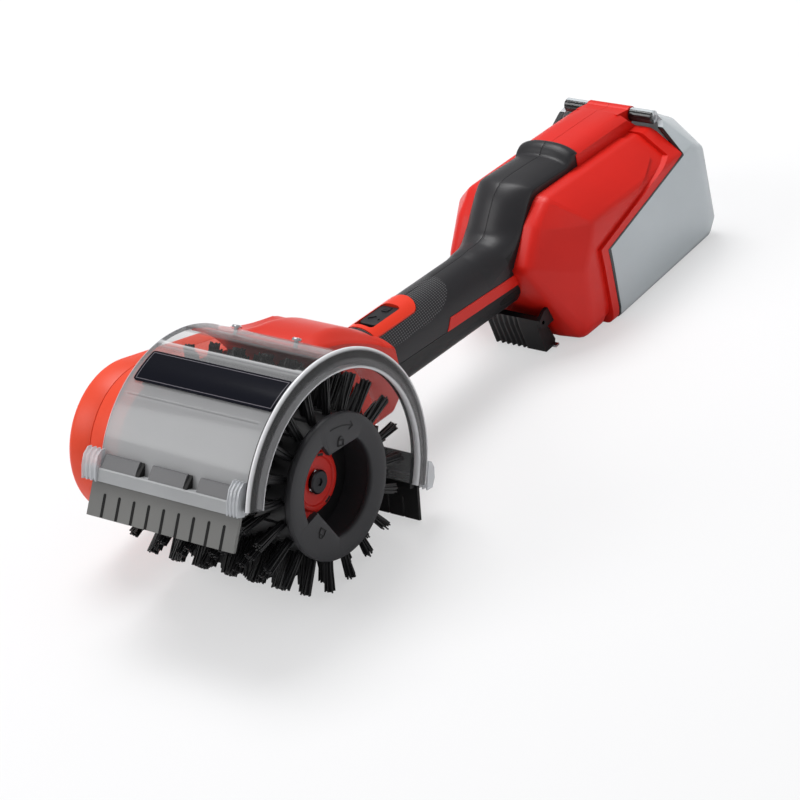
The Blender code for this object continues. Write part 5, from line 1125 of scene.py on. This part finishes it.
def round_hull(name, corners, radius, inset=0.0):
    """The tight skin round balls at the corners, each ball drawn in so that it touches the planes there."""
    corners = np.array([(side * x, y, z) for x, y, z in corners for side in (-1.0, 1.0)])
    low, high = corners.min(axis=0) + inset, corners.max(axis=0) - inset
    middle, half = (low + high) / 2.0, (high - low) / 2.0
    corners = middle + (corners - middle) * (half - radius) / (half + inset)
    mesh = bpy.data.meshes.new(name)
    ball = bmesh.new()
    bmesh.ops.create_icosphere(ball, subdivisions=3, radius=radius)
    ball.to_mesh(mesh)
    ball.free()
    around = np.empty(3 * len(mesh.vertices))
    mesh.vertices.foreach_get("co", around)
    points = (corners[:, None, :] + around.reshape(1, -1, 3)).reshape(-1, 3) + (MIDDLE, 0.0, 0.0)
    mesh.clear_geometry()
    mesh.from_pydata(to_world(points).tolist(), [], [])
    skin = bmesh.new()
    skin.from_mesh(mesh)
    result = bmesh.ops.convex_hull(skin, input=skin.verts)
    inner = {v for v in result["geom_interior"] + result["geom_unused"] if isinstance(v, bmesh.types.BMVert)}
    bmesh.ops.delete(skin, geom=[v for v in inner if v.is_valid], context="VERTS")
    bmesh.ops.delete(skin, geom=[v for v in skin.verts if not v.link_faces], context="VERTS")
    bmesh.ops.dissolve_limit(skin, angle_limit=np.radians(0.5), verts=skin.verts, edges=skin.edges)
    bmesh.ops.triangulate(skin, faces=skin.faces)
    skin.to_mesh(mesh)
    skin.free()
    shape = bpy.data.objects.new(name, mesh)
    bpy.context.collection.objects.link(shape)
    return shape


def shell_outline(back):
    """Side outline of the red shells' share of the box, its rear edge moved forward by a distance."""
    rear = 356.0 - 1.6 * back
    return [(182.4, -30.0), (272.4 - back, -30.0), (270.8 - back, 47.6 + 0.5 * back),
            (rear, 64.9 + 0.6 * back), (rear, 116.0), (182.4, 116.0)]


def band_outline(back):
    """Side outline of the strip of the shells that lies within a distance of the cover."""
    return [*shell_outline(back)[1:5], *shell_outline(-9.0)[4:0:-1]]


def bar_ring(across):
    """The raised bar's side outline at a place across it; its top falls away as 4.4 a^4 towards its edges."""
    fall = 4.4 * abs(across) ** 4.0 * BAR_LINE[:, 2]
    return drawn(np.column_stack([BAR_LINE[:, 0], BAR_LINE[:, 1] - fall]), [MIDDLE + across * BAR_HALF])[0]


knuckle_turn = np.radians(np.arange(-90.0, 121.0, 10.0))
knuckle_arc = HINGE + 4.7 * np.stack([np.cos(knuckle_turn), np.sin(knuckle_turn)], axis=-1)
knuckle_line = [(345.0, 79.4), (354.0, 79.3), *knuckle_arc, (345.0, 91.8)]
ear_line = np.add(LATCH_PIN, [(-3.0, -2.5), (1.0, -4.0), (10.5, -4.0), (8.5, 7.0), (2.0, 6.0), (-3.0, 2.5)])
bar_rows = np.array([bar_ring(a) for a in np.sin(np.radians(np.linspace(-90.0, 90.0, 25)))])
pin_bore = turned(np.add(MIDDLE, (-90.0, 90.0)), [PIN_RADIUS, PIN_RADIUS], np.arange(0.0, 360.0, 15.0), HINGE)
shell_red = moulded("shell_red", (0.64, 0.012, 0.006), 0.40, 0.18, drift=0.04)
lever_black = moulded("lever_black", (0.007, 0.007, 0.008), 0.42, 0.2, 1600.0, 0.08)
for tag, side, ear_x in (("left", -1.0, (-18.5, -16.3)), ("right", 1.0, (20.3, 22.5))):
    shell = round_hull(f"box_skin_{tag}", BOX_POINTS, 9.0, 0.9)
    carve(shell, "INTERSECT", drawn_out("shell_share", shell_outline(0.0), *BOX_SPAN))
    lip = round_hull("shell_lip", BOX_POINTS, 5.0)
    carve(lip, "INTERSECT", drawn_out("lip_share", shell_outline(0.0), *BOX_SPAN))
    carve(lip, "DIFFERENCE", drawn_out("lip_front", shell_outline(6.0), *BOX_SPAN))
    groove = round_hull("shell_groove", BOX_POINTS, 9.0, 2.1)
    carve(groove, "INTERSECT", drawn_out("groove_share", shell_outline(0.0), *BOX_SPAN))
    carve(shell, "DIFFERENCE", drawn_out("band_front", band_outline(12.0), *BOX_SPAN))
    carve(shell, "UNION", groove, lip)
    passage = [(205.0, 45.0), (245.0, 45.0), (245.0, 66.0), (205.0, 66.0)]
    carve(shell, "DIFFERENCE", round_hull("shell_inside", BOX_POINTS, 9.0, 3.2),
          drawn_out("passage", passage, MIDDLE - 12.0, MIDDLE + 12.0))
    knuckle = drawn_out("knuckle", knuckle_line, MIDDLE - 14.7, MIDDLE + 14.7)
    carve(shell, "UNION", shape_from("bar", bar_rows, weave(25, 9)), knuckle)
    far = MIDDLE + side * 0.12
    beyond = [(150.0, -40.0), (420.0, -40.0), (420.0, 130.0), (150.0, 130.0)]
    carve(shell, "DIFFERENCE", drawn_out("other_half", beyond, *sorted((far, far - side * 90.0))),
          shape_from("pin_bore", pin_bore, weave(24, 2, True, False)))
    fasten(shell, shell_red, "root", "red_plastic", f"box_shell_{tag}", sharp=26.0)
    # Painted shade: the ears take the lever's black where the shadow beside the latch falls.
    fasten(drawn_out(f"latch_ear_{tag}", ear_line, *ear_x), lever_black, "root", "black_plastic")

# Handle underside
# A dark moulded trough closes the handle from below, from side seam to side seam. Its rear end is cut to
# the round of the battery box.
under_rows = []
for y in np.linspace(HANDLE_FRONT, 240.0, 30):
    low = grip_angles(y, 0.0)[0]
    low_inside = grip_angles(y, -HANDLE_WALL)[0]
    outer = superellipse_path(0.0, y, np.linspace(180.0 - low, 360.0 + low, 60))
    inner = superellipse_path(-HANDLE_WALL, y, np.linspace(360.0 + low_inside, 180.0 - low_inside, 20))
    ring = np.concatenate([outer, inner])
    ring[[0, 59, 60, 79], 2] -= SEAM_EASE
    under_rows.append(ring)
under_charcoal = moulded("under_charcoal", (0.012, 0.012, 0.013), 0.5, 0.25, 1700.0)
under = shape_from("handle_under_skin", np.array(under_rows), weave(30, 80))
carve(under, "DIFFERENCE", round_hull("box_room", BOX_POINTS, 4.5, -0.3))
fasten(under, under_charcoal, "root", "black_plastic", "handle_underside", sharp=36.0)

# Battery cover
# A smoke-clear lid takes the box's rear and lower sides. It swings up on two barrels beside the bar's
# knuckle, about a steel pin.
COVER_SHOULDERS = [(31.4, 360.6, 88.9), (31.4, 378.2, 75.4)]
COVER_ALPHA = 0.78
EDGE_ALPHA = 0.92
SHADE_EDGE_TURN = (0.62, 0.90)
SHADE_EDGE_TOP = 57.5
FRONT_EDGE = 21.7
ROOF_LINE = (43.4, 0.203)
ROOF_EDGE = 1.2
ROOF_REAR = 105.0


def clear_with_painted_edge_shade(name, colour):
    """Clear plastic with painted shade, near black, where its sides turn round, and dark along its joint with
    the shells.
    """
    finish = moulded(name, colour, 0.08, drift=0.03, alpha=COVER_ALPHA)
    nodes = finish.node_tree.nodes
    links = finish.node_tree.links
    step = sums_in(finish)
    place = place_in(finish)
    sideways = facing_sideways(finish, step)
    # Painted shade: faces turned partly sideways, below 57.5 mm, are painted near black like the clear walls
    # seen edge-on.
    edge = step("MULTIPLY", step("GREATER_THAN", sideways, SHADE_EDGE_TURN[0]),
                step("LESS_THAN", sideways, SHADE_EDGE_TURN[1]))
    edge = step("MULTIPLY", edge, step("LESS_THAN", place["Z"], SHADE_EDGE_TOP * 0.001))
    front = step("LESS_THAN", place["Y"], FRONT_EDGE * 0.001)
    rise = step("ADD", step("MULTIPLY", place["Y"], ROOF_LINE[1]), ROOF_LINE[0] * 0.001)
    near = step("LESS_THAN", step("SUBTRACT", rise, place["Z"]), ROOF_EDGE * 0.001)
    roof = step("MULTIPLY", near, step("LESS_THAN", place["Y"], ROOF_REAR * 0.001))
    dark = step("MAXIMUM", step("MAXIMUM", edge, front), roof)
    shade = painted(finish, dark, nodes["Color Ramp"].outputs["Color"], (0.006, 0.007, 0.008))
    links.new(shade, nodes["Principled BSDF"].inputs["Base Color"])
    alpha = step("MAXIMUM", step("MULTIPLY", dark, EDGE_ALPHA), COVER_ALPHA)
    links.new(alpha, nodes["Principled BSDF"].inputs["Alpha"])
    return finish


def hinge_round(name, places, radii):
    """A round solid about the hinge's line, through radii at places along X."""
    return shape_from(name, turned(places, radii, np.arange(0.0, 360.0, 10.0), HINGE),
                      weave(36, len(places), True, False))


cover_line = [(272.7, 0.8), (271.1, 47.3), (356.3, 64.6), (356.3, 80.0), (361.0, 83.0), (361.0, 116.0),
              (410.0, 116.0), (410.0, 0.8)]
cover = round_hull("cover_skin", [*BOX_POINTS, *COVER_SHOULDERS], 4.0)
carve(cover, "INTERSECT", drawn_out("cover_share", cover_line, *BOX_SPAN))
carve(cover, "DIFFERENCE", round_hull("cover_inside", [*BOX_POINTS, *COVER_SHOULDERS], 3.0, 2.6))
for side in (-1.0, 1.0):
    low, high = sorted((MIDDLE + side * 15.0, MIDDLE + side * 31.4))
    carve(cover, "UNION", hinge_round("barrel", [low, low, low + 0.5, high - 0.5, high, high],
                                      [0.0, 3.6, 4.1, 4.1, 3.6, 0.0]))
knuckle_room = hinge_round("knuckle_room", np.add(MIDDLE, (-15.0, -15.0, 15.0, 15.0)), [0.0, 5.0, 5.0, 0.0])
pin_room = hinge_round("pin_room", np.add(MIDDLE, (-90.0, -90.0, 90.0, 90.0)),
                       [0.0, PIN_RADIUS, PIN_RADIUS, 0.0])
carve(cover, "DIFFERENCE", knuckle_room, pin_room)
cover_clear_edge_shade = clear_with_painted_edge_shade("cover_clear_edge_shade", (0.60, 0.65, 0.68))
fasten(cover, cover_clear_edge_shade, "cover", "clear_plastic", "battery_cover", sharp=30.0)
recoat(bright_steel, "hinge_pin")

# Latch
# A black moulded lever with finger ribs hangs under the front of the box, between the two ears. It turns on
# a steel pin and carries a small steel hook.
LEVER_LINE = np.array([(224.9, 1.2), (233.6, 1.2), (235.0, 4.5), (227.8, 23.0), (225.4, 25.0), (221.8, 24.0),
                       (221.4, 18.0)])
RIB_CUT = np.array([(1.1, 0.4), *[(0.0, 0.0)] * 5, (1.1, 0.0)])
RIBS_END = 6.0

lever_rows = []
for k, x in enumerate(np.linspace(-16.0, 20.0, 38)):
    cut_in = (k // 2) % 2 == 1 and x < RIBS_END
    lever_rows.append(drawn(LEVER_LINE + RIB_CUT * cut_in, [x])[0])
make_piece("latch_lever_ribbed", np.array(lever_rows), weave(38, 7), lever_black, "latch", "black_plastic",
           "latch_lever")
recoat(bright_steel, "latch_pin", "latch_hook")
